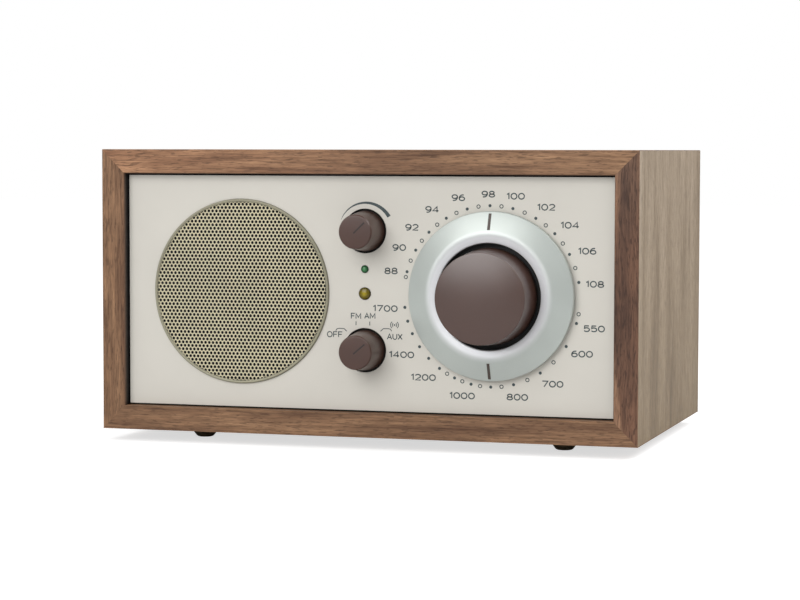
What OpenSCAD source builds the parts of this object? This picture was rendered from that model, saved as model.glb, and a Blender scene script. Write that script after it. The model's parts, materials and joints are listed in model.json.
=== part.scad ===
// Tabletop radio with a wooden cabinet, a round speaker, a geared tuning dial
// and two small control knobs. Millimetres, +Z up, the front faces -Y.
// The floor is z = 0 and the origin is under the middle of the whole object.

/* [Cabinet] */
// Outside width of the cabinet
cabinet_w = 212.7; // [190:0.1:260]
// Depth of the cabinet from its front edge to its back edge
cabinet_d = 131; // [114:1:170]
// Height of the cabinet without its feet
cabinet_h = 109.2; // [106:0.1:140]
// Thickness of the four cabinet boards
board_t = 9.3; // [7:0.1:11.2]
// How far the faceplate sits behind the front edge
front_recess = 3.8; // [2:0.1:6]
// How far the back panel sits in front of the back edge
back_recess = 5; // [4:0.5:8]
// Thickness of the back panel
back_panel_t = 4; // [3:0.5:5]
// Height of a rubber foot
foot_h = 4.8; // [3:0.1:8]
// Diameter of a rubber foot where it meets the cabinet
foot_d = 12; // [9:0.5:16]
// Distance of the feet from the cabinet's side faces
foot_inset_x = 33.2; // [20:0.1:45]
// Distance of the feet from the cabinet's front and back edges
foot_inset_y = 25; // [15:0.5:35]

/* [Front] */
// Thickness of the faceplate
plate_t = 1.5; // [1:0.1:2.5]
// Gap between the faceplate and the boards around it
plate_gap = 0.7; // [0.3:0.1:1.2]
// Thickness of the baffle board behind the faceplate
baffle_t = 6; // [5:0.5:9]
// Distance of the speaker and the dial from the middle of the front
side_x = 49.9; // [46:0.1:52]
// Diameter of the round speaker grille
grille_d = 71.2; // [60:0.1:74]
// How far the grille stands out of the faceplate
grille_proud = 0.9; // [0.5:0.1:1.4]
// Volume knob above mid-height
volume_dz = 23.8; // [22:0.1:27]
// Mode knob below mid-height
mode_dz = 21.6; // [20:0.1:25]
// Power lamp above mid-height
power_led_dz = 9.3; // [7:0.1:11]

/* [Knobs and dial] */
// Diameter of the dial disc
dial_d = 63.6; // [53:0.1:66]
// Height of the dial disc's rim above the faceplate
dial_rim_h = 3; // [2:0.1:4]
// Height of the dial disc's crown above the faceplate
dial_crown_h = 6.3; // [5.5:0.1:8]
// Diameter of the well in the dial that the knob sits in
dial_well_d = 39.6; // [37:0.1:42]
// Diameter of the tuning knob at its base
tuning_d = 36.4; // [30:0.1:37]
// Height of the tuning knob's face above the faceplate
tuning_h = 20.5; // [15:0.1:25]
// Diameter of a small knob at its base
knob_d = 15.4; // [13.6:0.1:15.8]
// Diameter of a small knob's face
knob_face_d = 13; // [11:0.1:13.2]
// Height of a small knob's face above the faceplate
knob_h = 12.8; // [11:0.1:16]
// Diameter of the faceplate hole around a small knob
knob_hole_d = 17; // [16.4:0.1:19]

/* [Tuning drive] */
// Tooth size, pitch diameter over tooth count
gear_m = 0.8; // [0.67:0.01:0.96]
// Teeth on the sun gear
sun_teeth = 12; // [12:6:12]
// Teeth on each planet gear
planet_teeth = 18; // [18:6:18]
// Thickness of the gears
gear_t = 3; // [2:0.5:4]
// Play between meshing teeth
gear_play = 0.16; // [0.12:0.01:0.25]
// Radius of the control shafts
shaft_r = 3; // [2.5:0.1:3.2]
// Radius of the variable capacitor's moving plates
vane_r = 14; // [10:0.5:16]
// Distance from one moving plate to the next
vane_pitch = 2.6; // [2.2:0.1:3]

/* [Speaker] */
// Diameter of the speaker's mounting flange
speaker_d = 78; // [65:0.5:80]
// Depth of the speaker's basket
basket_h = 24; // [20:0.5:30]
// Diameter of the ring magnet
magnet_d = 52; // [40:1:60]
// Thickness of the ring magnet
magnet_t = 10; // [8:0.5:16]

/* [Back and inside] */
// Radius of the plug hole in each audio jack
jack_r = 1.8; // [1.78:0.01:1.85]
// Distance from one audio jack to the next
jack_pitch = 15; // [14:0.5:17]
// Radius of the aerial connector's thread
aerial_r = 4.7; // [4:0.05:5.5]
// How far the aerial connector stands out of the back panel
aerial_len = 9; // [7:0.5:11]
// Inner radius of the bass port
port_r = 12; // [9:0.5:14]
// Height of the bass port's tube inside the cabinet
port_h = 45; // [25:1:60]
// Width of the main circuit board
board_w = 92; // [84:1:94]
// Depth of the main circuit board
board_depth = 52; // [46:1:58]
// Width of the transformer's core
core_w = 44; // [36:1:50]

/* [Hidden] */
$fn = 72;
play = 0.05;
gap = 0.3;
over = 1;
mid_z = cabinet_h / 2;
aerial_out = max(0, aerial_len - back_recess);
tuning_out = tuning_h - front_recess;
front_y = (tuning_out - cabinet_d - aerial_out) / 2;
plate_y = front_recess;
baffle_y = plate_y + plate_t;
drive_y = baffle_y + baffle_t;
panel_y = cabinet_d - back_recess - back_panel_t;
panel_back_y = cabinet_d - back_recess;
inner_x = cabinet_w / 2 - board_t;
inner_top = cabinet_h - board_t;
shell_t = 1.6;
screw_r = 1.5;
screw_len = 9;
screw_head_r = 2.8;
screw_head_t = 1.6;
block_w = 10;
block_len = 26;
corner_x = inner_x - block_w / 2;
corner_zs = [board_t + block_w / 2, inner_top - block_w / 2];
pressure = 25;
flank_steps = 3;
ring_teeth = sun_teeth + 2 * planet_teeth;
sun_pitch_r = gear_m * sun_teeth / 2;
planet_pitch_r = gear_m * planet_teeth / 2;
ring_pitch_r = gear_m * ring_teeth / 2;
orbit_r = sun_pitch_r + planet_pitch_r;
tooth_out = 0.8 * gear_m;
tooth_in = 1.15 * gear_m;
hub_r = shaft_r + 2;
housing_wall = 1.8;
carrier_t = 1.5;
carrier_r = ring_pitch_r - tooth_out - gap - 1.5;
carrier_y = drive_y + housing_wall + gap;
gears_y = carrier_y + carrier_t + gap;
carrier_back_y = gears_y + gear_t + gap;
housing_back_y = carrier_back_y + carrier_t + gap;
housing_r = ring_pitch_r + tooth_in + 6;
drive_screw_r = 1.3;
drive_screw_orbit = housing_r - 3;
planet_pin_r = 1.5;
tail_r = 1.5;
vane_t = 0.7;
vane_count = 5;
frame_t = 1.5;
vanes_y = housing_back_y + frame_t + 2.4;
frame_back_y = vanes_y + vane_pitch * vane_count + 1.6;
sleeve_r = shaft_r + 1.5;
stub_len = gap + frame_t + 1.6;
speaker_y = drive_y;
flange_t = 1.2;
coil_r = 8;
coil_t = 0.5;
neck_z = basket_h / 2 + 1;
basket_r = speaker_d / 2 - 5;
cone_r = basket_r - 8;
cone_fall = (cone_r - coil_r + 0.1) / (neck_z - 0.6);
spider_z = basket_h - 6.4;
spider_r = 20.9 + (basket_r - 21.8) * 2.9 / (basket_h - 3.7);
bushing_r = shaft_r + 1;
nut_w = 9;
nut_t = 2;
pot_r = 8.5;
pot_t = 9;
board_z = board_t + 7;
board_pcb_t = 1.6;
board_x = inner_x - block_w - 1 - board_w / 2;
board_y = panel_y - 2 - board_depth / 2;
post_xy = [board_w / 2 - 3, board_depth / 2 - 5];
jack_w = 11;
jack_h = 11;
jack_depth = 14;
jack_z = board_z + board_pcb_t + jack_h / 2;
jack_xs = [for (i = [0 : 3]) board_x - board_w / 2 + 12 + i * jack_pitch];
button_x = board_x + board_w / 2 - 12;
button_z = board_z + board_pcb_t + 5;
button_r = 2.4;
button_travel = 1.2;
aerial_x = -12;
aerial_z = cabinet_h - board_t - 22;
slider_x = aerial_x + 24;
slider_travel = 3;
slider_w = 4;
slot_w = slider_w + slider_travel + 2 * gap;
slot_h = 4.6;
inlet_x = 26 - inner_x;
inlet_z = board_t + 22;
inlet_w = 13.4;
inlet_h = 7.8;
inlet_wall = 1.5;
inlet_depth = 16;
pin_spacing = 8.6;
core_h = 36;
core_stack = 20;
core_leg = 12;
core_x = 6 - inner_x + core_w / 2;
speaker_back_y = speaker_y + basket_h + magnet_t + 3;
inlet_front_y = panel_back_y - inlet_depth - 4;
core_y = (speaker_back_y + inlet_front_y) / 2;
port_x = core_x + core_w / 2 + port_r + 10;
port_y = core_y;
rod_r = 5;
rod_len = 84;
rod_x = inner_x - block_w - 2 - rod_len / 2;
rod_y = panel_y - 18;
rod_z = inner_top - 12;

// ---------- shared helpers ----------

// Moves from cabinet coordinates (front edge y = 0, underside z = 0) to the floor
module in_cabinet() {
    translate([0, front_y, foot_h]) children();
}

// Local +Z points to the front
module to_front(x, y, z) {
    translate([x, y, z]) rotate([90, 0, 0]) children();
}

// Local +Z points to the back
module to_back(x, y, z) {
    translate([x, y, z]) rotate([-90, 0, 0]) children();
}

module ring(outer_r, inner_r, h) {
    difference() {
        cylinder(h = h, r = outer_r);
        translate([0, 0, -over]) cylinder(h = h + 2 * over, r = inner_r);
    }
}

module centred_box(w, d, h) {
    translate([-w / 2, -d / 2, 0]) cube([w, d, h]);
}

// Angle between a tooth's middle and its flank at radius r
function involute(a) = tan(a) * 180 / PI - a;
function flank(r, pitch_r, half) = half + involute(pressure)
    - (r > pitch_r * cos(pressure) ? involute(acos(pitch_r * cos(pressure) / r)) : 0);

function gear_points(teeth, low_r, high_r, play_side) = [
    for (i = [0 : teeth - 1], k = [0 : 2 * flank_steps + 1])
        let (
            pitch_r = gear_m * teeth / 2,
            half = 90 / teeth + play_side * gear_play / 4 / pitch_r * 180 / PI,
            rising = k <= flank_steps,
            step = rising ? k : 2 * flank_steps + 1 - k,
            r = low_r + (high_r - low_r) * step / flank_steps,
            side = rising ? -1 : 1,
            a = 360 * i / teeth + side * flank(r, pitch_r, half)
        ) [r * cos(a), r * sin(a)]];

module gear(teeth, h) {
    pitch_r = gear_m * teeth / 2;
    linear_extrude(height = h)
        polygon(gear_points(teeth, pitch_r - tooth_in, pitch_r + tooth_out, -1));
}

// A round-headed screw: the head is above local z = 0 and the shank below
module screw(r, len, head_r, head_t) {
    cylinder(h = head_t, r1 = head_r, r2 = head_r * 0.7);
    translate([0, 0, -len]) cylinder(h = len, r = r);
}

module wood_screw() {
    difference() {
        screw(screw_r, screw_len, screw_head_r, screw_head_t);
        translate([-2, -0.3, screw_head_t - 0.7]) cube([4, 0.6, over]);
        translate([-0.3, -2, screw_head_t - 0.7]) cube([0.6, 4, over]);
    }
}

module screw_hole(len) {
    translate([0, 0, -len]) cylinder(h = len + over, r = screw_r + play);
}

module at_corners() {
    for (x = [-corner_x, corner_x], z = corner_zs) translate([x, 0, z]) children();
}

module at_transformer_screws() {
    for (y = [-1, 1]) translate([core_x, core_y + y * (core_stack / 2 + 5), board_t]) children();
}

// ---------- cabinet ----------

module mitred_board(length, turn) {
    points = [[-length / 2, 0], [length / 2, 0],
        [length / 2 - board_t, -board_t], [board_t - length / 2, -board_t]];
    rotate([0, turn, 0]) translate([0, cabinet_d, 0]) rotate([90, 0, 0])
        linear_extrude(height = cabinet_d) polygon(points);
}

module cabinet_top() {
    color([0.50, 0.34, 0.24]) in_cabinet()
        translate([0, 0, cabinet_h]) mitred_board(cabinet_w, 0);
}

module cabinet_bottom() {
    color([0.50, 0.34, 0.24]) in_cabinet() difference() {
        mitred_board(cabinet_w, 180);
        translate([port_x, port_y, -over])
            cylinder(h = board_t + 2 * over, r = port_r + shell_t);
        at_transformer_screws() translate([0, 0, 2]) screw_hole(screw_len);
        translate([board_x, board_y, 0]) for (x = [-1, 1], y = [-1, 1])
            translate([x * post_xy[0], y * post_xy[1], board_t - 4])
                cylinder(h = 4 + over, r = 1.6);
    }
}

module cabinet_left_side() {
    color([0.46, 0.31, 0.22]) in_cabinet()
        translate([-cabinet_w / 2, 0, mid_z]) mitred_board(cabinet_h, -90);
}

module cabinet_right_side() {
    color([0.46, 0.31, 0.22]) in_cabinet()
        translate([cabinet_w / 2, 0, mid_z]) mitred_board(cabinet_h, 90);
}

module corner_blocks() {
    color([0.80, 0.68, 0.50]) in_cabinet() {
        at_corners() difference() {
            translate([-block_w / 2, drive_y, -block_w / 2])
                cube([block_w, block_len, block_w]);
            to_front(0, drive_y, 0) screw_hole(screw_len);
        }
        at_corners() difference() {
            translate([-block_w / 2, panel_y - block_len, -block_w / 2])
                cube([block_w, block_len, block_w]);
            to_back(0, panel_y, 0) screw_hole(screw_len);
        }
    }
}

// A board that fills the cabinet's mouth with its front face at y
module inner_board(y, t, margin) {
    translate([margin - inner_x, y, board_t + margin])
        cube([2 * (inner_x - margin), t, inner_top - board_t - 2 * margin]);
}

module baffle_board() {
    color([0.36, 0.27, 0.20]) in_cabinet() difference() {
        inner_board(baffle_y, baffle_t, 0);
        to_back(-side_x, baffle_y - over, mid_z)
            cylinder(h = baffle_t + 2 * over, r = basket_r - 0.5);
        to_back(side_x, baffle_y - over, mid_z)
            cylinder(h = baffle_t + 2 * over, r = hub_r + 1.5);
        for (z = [volume_dz, -mode_dz]) to_back(0, baffle_y - over, mid_z + z)
            cylinder(h = baffle_t + 2 * over, r = bushing_r + play);
        to_back(0, baffle_y - over, mid_z + power_led_dz)
            cylinder(h = baffle_t + 2 * over, r = 1.5 + play);
        to_back(0, baffle_y - over, mid_z)
            cylinder(h = baffle_t + 2 * over, r = 2.4 + play);
        at_corners() {
            to_front(0, baffle_y, 0) screw_hole(baffle_t + over);
            to_back(0, baffle_y - over, 0)
                cylinder(h = over + screw_head_t + play, r = screw_head_r + play);
        }
        at_speaker_screws() translate([0, 0, -over]) cylinder(h = 5.5 + over, r = 1.25 + play);
        at_drive_screws() translate([0, 0, -over]) cylinder(h = 4 + over, r = drive_screw_r + play);
    }
}

module faceplate() {
    color([0.84, 0.82, 0.78]) in_cabinet() difference() {
        inner_board(plate_y, plate_t, plate_gap);
        to_back(-side_x, plate_y - over, mid_z)
            cylinder(h = plate_t + 2 * over, r = grille_d / 2 + 0.1);
        to_back(side_x, plate_y - over, mid_z)
            cylinder(h = plate_t + 2 * over, r = hub_r + 1.5);
        for (z = [volume_dz, -mode_dz]) to_back(0, plate_y - over, mid_z + z)
            cylinder(h = plate_t + 2 * over, r = knob_hole_d / 2);
        to_back(0, plate_y - over, mid_z + power_led_dz)
            cylinder(h = plate_t + 2 * over, r = 1.5 + play);
        to_back(0, plate_y - over, mid_z)
            cylinder(h = plate_t + 2 * over, r = 2.4 + play);
    }
}

module back_panel() {
    color([0.16, 0.15, 0.14]) in_cabinet() difference() {
        inner_board(panel_y, back_panel_t, gap);
        at_corners() to_back(0, panel_back_y, 0) screw_hole(back_panel_t + over);
        for (x = jack_xs) to_back(x, panel_y - over, jack_z)
            cylinder(h = back_panel_t + 2 * over, r = 4 + play);
        to_back(button_x, panel_y - over, button_z)
            cylinder(h = back_panel_t + 2 * over, r = button_r + gap);
        to_back(aerial_x, panel_y - over, aerial_z)
            cylinder(h = back_panel_t + 2 * over, r = aerial_r + play);
        translate([slider_x, panel_y - over, aerial_z]) rotate([-90, 0, 0])
            centred_box(slot_w, slot_h, back_panel_t + 2 * over);
        translate([inlet_x, panel_y - over, inlet_z]) rotate([-90, 0, 0])
            centred_box(inlet_w + 2 * (inlet_wall + play), inlet_h + 2 * (inlet_wall + play),
                back_panel_t + 2 * over);
    }
}

module rubber_feet() {
    foot_x = cabinet_w / 2 - foot_inset_x;
    top_r = foot_d / 2;
    color([0.09, 0.09, 0.09]) for (x = [-foot_x, foot_x], y = [foot_inset_y, cabinet_d - foot_inset_y])
        translate([x, front_y + y, 0]) rotate_extrude() polygon([[0, 0], [top_r * 0.6, 0],
            [top_r * 0.8, foot_h * 0.1], [top_r * 0.94, foot_h * 0.35], [top_r, foot_h * 0.7],
            [top_r, foot_h], [0, foot_h]]);
}

module bass_port() {
    color([0.08, 0.08, 0.08]) in_cabinet() translate([port_x, port_y, 0]) {
        difference() {
            union() {
                cylinder(h = board_t + port_h, r = port_r + shell_t - play);
                translate([0, 0, board_t]) cylinder(h = 2, r = port_r + 5);
            }
            translate([0, 0, -over]) cylinder(h = board_t + port_h + 2 * over, r = port_r);
        }
    }
}

module wood_screws() {
    color([0.30, 0.30, 0.31]) in_cabinet() {
        at_corners() to_front(0, baffle_y + screw_head_t, 0) wood_screw();
        at_corners() to_back(0, panel_back_y, 0) wood_screw();
        at_transformer_screws() translate([0, 0, 2]) wood_screw();
    }
}

// ---------- speaker ----------

module at_speaker_screws() {
    for (a = [45 : 90 : 315]) to_front(-side_x, speaker_y, mid_z)
        rotate([0, 0, a]) translate([speaker_d / 2 - 2.5, 0, 0]) children();
}

module speaker_grille() {
    r = grille_d / 2;
    color([0.72, 0.68, 0.57]) in_cabinet() to_front(-side_x, baffle_y, mid_z)
        rotate_extrude() polygon([[r - 0.8, 0], [r, 0], [r, plate_t + grille_proud - 0.5],
            [r - 0.5, plate_t + grille_proud], [0, plate_t + grille_proud],
            [0, plate_t + grille_proud - 0.8], [r - 0.8, plate_t + grille_proud - 0.8]]);
}

module speaker_basket() {
    low_r = coil_r + coil_t + gap;
    color([0.20, 0.20, 0.21]) in_cabinet() to_back(-side_x, speaker_y, mid_z) difference() {
        rotate_extrude() polygon([[basket_r, 0], [speaker_d / 2, 0], [speaker_d / 2, flange_t],
            [basket_r + 0.2, flange_t], [22, basket_h], [low_r, basket_h],
            [low_r, basket_h - 2.5], [21, basket_h - 2.5], [basket_r - 0.8, flange_t]]);
        for (a = [0 : 90 : 270]) rotate([0, 0, a])
            translate([14, -9, 5]) cube([speaker_d / 2, 18, basket_h - 10]);
        for (a = [45 : 90 : 315]) rotate([0, 0, a])
            translate([speaker_d / 2 - 2.5, 0, -over]) cylinder(h = 5, r = 1.25 + play);
    }
}

module speaker_screws() {
    color([0.62, 0.62, 0.63]) in_cabinet() for (a = [45 : 90 : 315])
        to_back(-side_x, speaker_y + flange_t, mid_z) rotate([0, 0, a])
            translate([speaker_d / 2 - 2.5, 0, 0]) screw(1.25, 6, 2.2, 1.4);
}

module speaker_magnet() {
    color([0.17, 0.17, 0.18]) in_cabinet() to_back(-side_x, speaker_y + basket_h, mid_z)
        ring(magnet_d / 2, coil_r + 4, magnet_t);
}

module speaker_yoke() {
    color([0.62, 0.63, 0.65]) in_cabinet()
        to_back(-side_x, speaker_y + basket_h, mid_z) {
            translate([0, 0, magnet_t]) cylinder(h = 3, r = magnet_d / 2 - 2);
            translate([0, 0, -2.5]) cylinder(h = magnet_t + 3, r = coil_r - gap);
        }
}

module speaker_surround() {
    color([0.07, 0.07, 0.07]) in_cabinet() to_front(-side_x, speaker_y, mid_z)
        rotate_extrude() polygon([[cone_r + gap, 0], [cone_r + 1.2, 0.3], [cone_r + 2.4, 1.7],
            [cone_r + 3.6, 2.1], [cone_r + 4.8, 1.7], [cone_r + 5.6, 0], [basket_r - 0.8, -0.1],
            [basket_r - 0.8, -0.7], [cone_r + 5.2, -0.6], [cone_r + 4.3, 1.1], [cone_r + 3.6, 1.4],
            [cone_r + 2.8, 1.1], [cone_r + 1.6, -0.4], [cone_r + gap, -0.7]]);
}

module speaker_spider() {
    low_r = coil_r + coil_t + gap;
    wave = (spider_r - low_r - 1) / 6;
    color([0.72, 0.52, 0.25]) in_cabinet() to_back(-side_x, speaker_y + spider_z, mid_z)
        rotate_extrude() polygon([[low_r, 0], [low_r + wave, 0.8], [low_r + 2 * wave, 0],
            [low_r + 3 * wave, 0.8], [low_r + 4 * wave, 0], [low_r + 5 * wave, 0.8],
            [low_r + 6 * wave, 0], [spider_r, 0], [spider_r, 0.5], [low_r + 6 * wave, 0.5],
            [low_r + 5 * wave, 1.3], [low_r + 4 * wave, 0.5], [low_r + 3 * wave, 1.3],
            [low_r + 2 * wave, 0.5], [low_r + wave, 1.3], [low_r, 0.5]]);
}

module speaker_cone() {
    low_r = coil_r + coil_t;
    color([0.10, 0.10, 0.10]) in_cabinet() to_back(-side_x, speaker_y, mid_z)
        rotate_extrude() polygon([[cone_r, 0], [cone_r, 0.6], [low_r, neck_z],
            [low_r - 1.5, neck_z], [low_r - 1.5, neck_z - 0.6], [cone_r - 0.9, 0]]);
}

module dust_cap() {
    cap_r = coil_r - 0.2 + 2.2 * cone_fall;
    color([0.10, 0.10, 0.10]) in_cabinet() to_front(-side_x, speaker_y + neck_z - 1.9, mid_z)
        rotate_extrude() polygon([[cap_r - 0.9, 0.9], [cap_r * 0.75, 2.4], [cap_r * 0.45, 3.5],
            [0, 4], [0, 3.4], [cap_r * 0.43, 2.9], [cap_r * 0.7, 1.9], [cap_r - 1.7, 0.7]]);
}

module voice_coil() {
    color([0.75, 0.45, 0.20]) in_cabinet() to_back(-side_x, speaker_y + neck_z, mid_z)
        ring(coil_r + coil_t, coil_r, basket_h - neck_z + 3);
}

// ---------- tuning knob, dial and drive ----------

// A hollow turned knob. Heights are above the faceplate
module knob(base_r, face_r, low, high, wall, boss_r, boss_low) {
    edge = 0.7;
    bore_r = shaft_r + play / 2;
    difference() {
        rotate_extrude() polygon([[0, low], [base_r, low], [face_r, high - edge],
            [face_r - edge * 0.3, high - edge * 0.3], [face_r - edge, high], [0, high]]);
        difference() {
            translate([0, 0, low - over])
                cylinder(h = high - low - wall - 1 + over, r = face_r - wall);
            translate([0, 0, boss_low]) cylinder(h = high, r = boss_r);
        }
        translate([0, 0, low - over]) cylinder(h = high - low - 3 + over, r = bore_r);
    }
}

module tuning_knob() {
    color([0.36, 0.29, 0.27]) in_cabinet() to_front(side_x, plate_y, mid_z)
        knob(tuning_d / 2, tuning_d / 2 - 1.3, 3.2, tuning_h, 1.8, 6, 3.2);
}

module tuning_shaft() {
    color([0.78, 0.62, 0.30]) in_cabinet() to_front(side_x, gears_y + gear_t, mid_z) {
        gear(sun_teeth, gear_t);
        translate([0, 0, 0.4 - gap - carrier_t]) cylinder(h = gap + carrier_t, r = tail_r);
        cylinder(h = gears_y + gear_t - plate_y + tuning_h - 3.5, r = shaft_r);
    }
}

module dial_disc() {
    r = dial_d / 2;
    well_r = dial_well_d / 2;
    crown_r = well_r + 3.9;
    color([0.74, 0.78, 0.76]) in_cabinet() to_front(side_x, plate_y, mid_z)
        rotate_extrude() polygon([[hub_r, 0.6], [well_r + shell_t, 0.6], [well_r + shell_t, 3.4],
            [crown_r, dial_crown_h - 1.4], [r - 1.4, dial_rim_h - 1.4], [r - 1.4, 0.6], [r, 0.6],
            [r, dial_rim_h - 0.5], [r - 0.5, dial_rim_h], [crown_r, dial_crown_h],
            [well_r + 0.4, dial_crown_h - 0.4], [well_r, dial_crown_h - 0.8], [well_r, 2],
            [hub_r, 2]]);
}

// Two discs with the planet gears between them, on a tube that carries the dial
module dial_carrier() {
    front_z = carrier_t + gear_t + 2 * gap;
    color([0.70, 0.66, 0.52]) in_cabinet() to_front(side_x, carrier_back_y + carrier_t, mid_z)
        difference() {
            union() {
                cylinder(h = carrier_t, r = carrier_r);
                translate([0, 0, -stub_len]) cylinder(h = stub_len + 0.1, r = shaft_r);
                translate([0, 0, front_z]) cylinder(h = carrier_t, r = carrier_r);
                translate([0, 0, front_z])
                    cylinder(h = carrier_y + carrier_t - plate_y + 2, r = hub_r - play / 2);
                for (a = [60 : 120 : 300]) rotate([0, 0, a]) translate([orbit_r, 0, 0])
                    cylinder(h = front_z + carrier_t, r = 2);
                for (a = [0 : 120 : 240]) rotate([0, 0, a]) translate([orbit_r, 0, 0])
                    cylinder(h = front_z + carrier_t, r = planet_pin_r);
            }
            translate([0, 0, 0.2]) cylinder(h = carrier_t, r = tail_r + play);
            translate([0, 0, carrier_t + over]) cylinder(h = 60, r = shaft_r + play);
        }
}

module planet_gear(angle) {
    color([0.90, 0.88, 0.82]) in_cabinet() to_front(side_x, gears_y + gear_t, mid_z)
        rotate([0, 0, angle]) translate([orbit_r, 0, 0]) rotate([0, 0, 180 / planet_teeth])
            difference() {
                gear(planet_teeth, gear_t);
                translate([0, 0, -over])
                    cylinder(h = gear_t + 2 * over, r = planet_pin_r + play);
            }
}

module planet_gear_1() {
    planet_gear(0);
}

module planet_gear_2() {
    planet_gear(120);
}

module planet_gear_3() {
    planet_gear(240);
}

module at_drive_screws() {
    for (a = [30 : 120 : 270]) to_front(side_x, drive_y, mid_z)
        rotate([0, 0, a]) translate([drive_screw_orbit, 0, 0]) children();
}

// Front wall with the hub bearing, and the fixed ring of inner teeth
module drive_housing() {
    depth = housing_back_y - drive_y;
    color([0.78, 0.76, 0.70]) in_cabinet() difference() {
        to_back(side_x, drive_y, mid_z) cylinder(h = depth, r = housing_r);
        to_front(side_x, housing_back_y + over, mid_z) rotate([0, 0, 180 / ring_teeth])
            linear_extrude(height = depth - housing_wall + over)
                polygon(gear_points(ring_teeth, ring_pitch_r - tooth_out,
                    ring_pitch_r + tooth_in, 1));
        to_back(side_x, drive_y - over, mid_z)
            cylinder(h = housing_wall + 2 * over, r = hub_r + play / 2);
        at_drive_screws() translate([0, 0, -depth - over])
            cylinder(h = depth + 2 * over, r = drive_screw_r + play);
    }
}

module drive_screws() {
    plates = housing_back_y + frame_t - drive_y;
    color([0.62, 0.62, 0.63]) in_cabinet() at_drive_screws() translate([0, 0, -plates])
        rotate([180, 0, 0]) screw(drive_screw_r, plates + 3.8, 2.4, 1.6);
}

// ---------- variable capacitor ----------

module capacitor_frame() {
    half_w = vane_r + 5;
    span = frame_back_y - housing_back_y;
    color([0.66, 0.67, 0.68]) in_cabinet() difference() {
        union() {
            to_back(side_x, housing_back_y, mid_z) cylinder(h = frame_t, r = housing_r);
            to_back(side_x, housing_back_y + frame_t - 0.1, mid_z)
                translate([-half_w, half_w - 2, 0]) cube([2 * half_w, 2, span - frame_t]);
            to_back(side_x, frame_back_y - frame_t, mid_z)
                translate([-half_w, -7, 0]) cube([2 * half_w, half_w + 7, frame_t]);
        }
        to_back(side_x, housing_back_y - over, mid_z)
            cylinder(h = span + 2 * over, r = shaft_r + play);
        at_drive_screws() translate([0, 0, -housing_back_y - frame_t - over])
            cylinder(h = housing_back_y + 2 * over, r = drive_screw_r + play);
    }
}

// Fixed plates on two bars, below the shaft
module capacitor_stator() {
    color([0.80, 0.80, 0.78]) in_cabinet() to_back(side_x, housing_back_y + frame_t, mid_z) {
        for (x = [-1, 1]) translate([x * (vane_r + 2.5), 5, 0])
            cylinder(h = frame_back_y - housing_back_y - 2 * frame_t, r = 1.5);
        for (i = [0 : vane_count]) translate([0, 0, vanes_y - housing_back_y - frame_t
                + (i - 0.5) * vane_pitch - vane_t / 2])
            difference() {
                translate([-vane_r - 2.5, 1.5, 0]) cube([2 * vane_r + 5, vane_r + 0.5, vane_t]);
                translate([0, 0, -over]) cylinder(h = vane_t + 2 * over, r = sleeve_r + 1);
                for (x = [-1, 1]) translate([x * (vane_r + 2.5), 5, -over])
                    cylinder(h = vane_t + 2 * over, r = 1);
            }
    }
}

// Half-round moving plates on a shaft, half meshed at the middle of the dial
module capacitor_rotor() {
    front_y = housing_back_y + frame_t + gap;
    color([0.85, 0.85, 0.82]) in_cabinet() to_back(side_x, front_y, mid_z) difference() {
        union() {
            cylinder(h = frame_back_y - frame_t - gap - front_y, r = sleeve_r);
            cylinder(h = frame_back_y + 2 - front_y, r = shaft_r);
            for (i = [0 : vane_count - 1])
                translate([0, 0, vanes_y - front_y + i * vane_pitch - vane_t / 2])
                    intersection() {
                        cylinder(h = vane_t, r = vane_r);
                        translate([0, -vane_r, 0]) cube([vane_r, 2 * vane_r, vane_t]);
                    }
        }
        translate([0, 0, -over]) cylinder(h = over + 2, r = shaft_r + play / 2);
    }
}

// ---------- small knobs, potentiometer, switch and lamps ----------

module small_knob(dz) {
    color([0.36, 0.29, 0.27]) in_cabinet() to_front(0, plate_y, mid_z + dz)
        knob(knob_d / 2, knob_face_d / 2, 0.6 - plate_t, knob_h, 1, 4.6, nut_t - plate_t + 1.1);
}

module small_shaft(dz) {
    color([0.78, 0.78, 0.79]) in_cabinet() to_front(0, drive_y + pot_t - 1.5, mid_z + dz)
        cylinder(h = drive_y + pot_t - 1.5 - plate_y + knob_h - 3.5, r = shaft_r);
}

// Body, threaded bushing and solder lugs
module control_body(dz) {
    in_cabinet() to_front(0, drive_y + pot_t, mid_z + dz) {
        difference() {
            union() {
                cylinder(h = pot_t, r = pot_r);
                cylinder(h = pot_t + baffle_t + nut_t + 0.5, r = bushing_r);
            }
            translate([0, 0, 1.5 - gap]) cylinder(h = 60, r = shaft_r + play);
        }
        for (x = [-5, 0, 5]) translate([x - 0.8, -pot_r - 3, 2]) cube([1.6, 5, 0.8]);
    }
}

module volume_knob() {
    small_knob(volume_dz);
}

module volume_shaft() {
    small_shaft(volume_dz);
}

module volume_potentiometer() {
    color([0.55, 0.56, 0.58]) control_body(volume_dz);
}

module mode_knob() {
    small_knob(-mode_dz);
}

module mode_shaft() {
    small_shaft(-mode_dz);
}

module mode_switch() {
    color([0.50, 0.44, 0.30]) control_body(-mode_dz);
}

module shaft_nuts() {
    color([0.80, 0.80, 0.80]) in_cabinet() for (z = [volume_dz, -mode_dz])
        to_front(0, baffle_y, mid_z + z) difference() {
            cylinder(h = nut_t, r = nut_w / sqrt(3), $fn = 6);
            translate([0, 0, -over]) cylinder(h = nut_t + 2 * over, r = bushing_r + play / 2);
        }
}

// A lamp with a domed front, its collar and two leads at the back
module lamp(dz, r) {
    in_cabinet() to_front(0, drive_y, mid_z + dz) {
        translate([0, 0, -1.5]) cylinder(h = 1.5, r = r + 0.6);
        cylinder(h = baffle_t + plate_t, r = r);
        translate([0, 0, baffle_t + plate_t]) cylinder(h = 0.5, r1 = r, r2 = r * 0.75);
        for (x = [-0.7, 0.7]) translate([x - 0.25, -0.25, -7]) cube([0.5, 0.5, 6]);
    }
}

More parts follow.
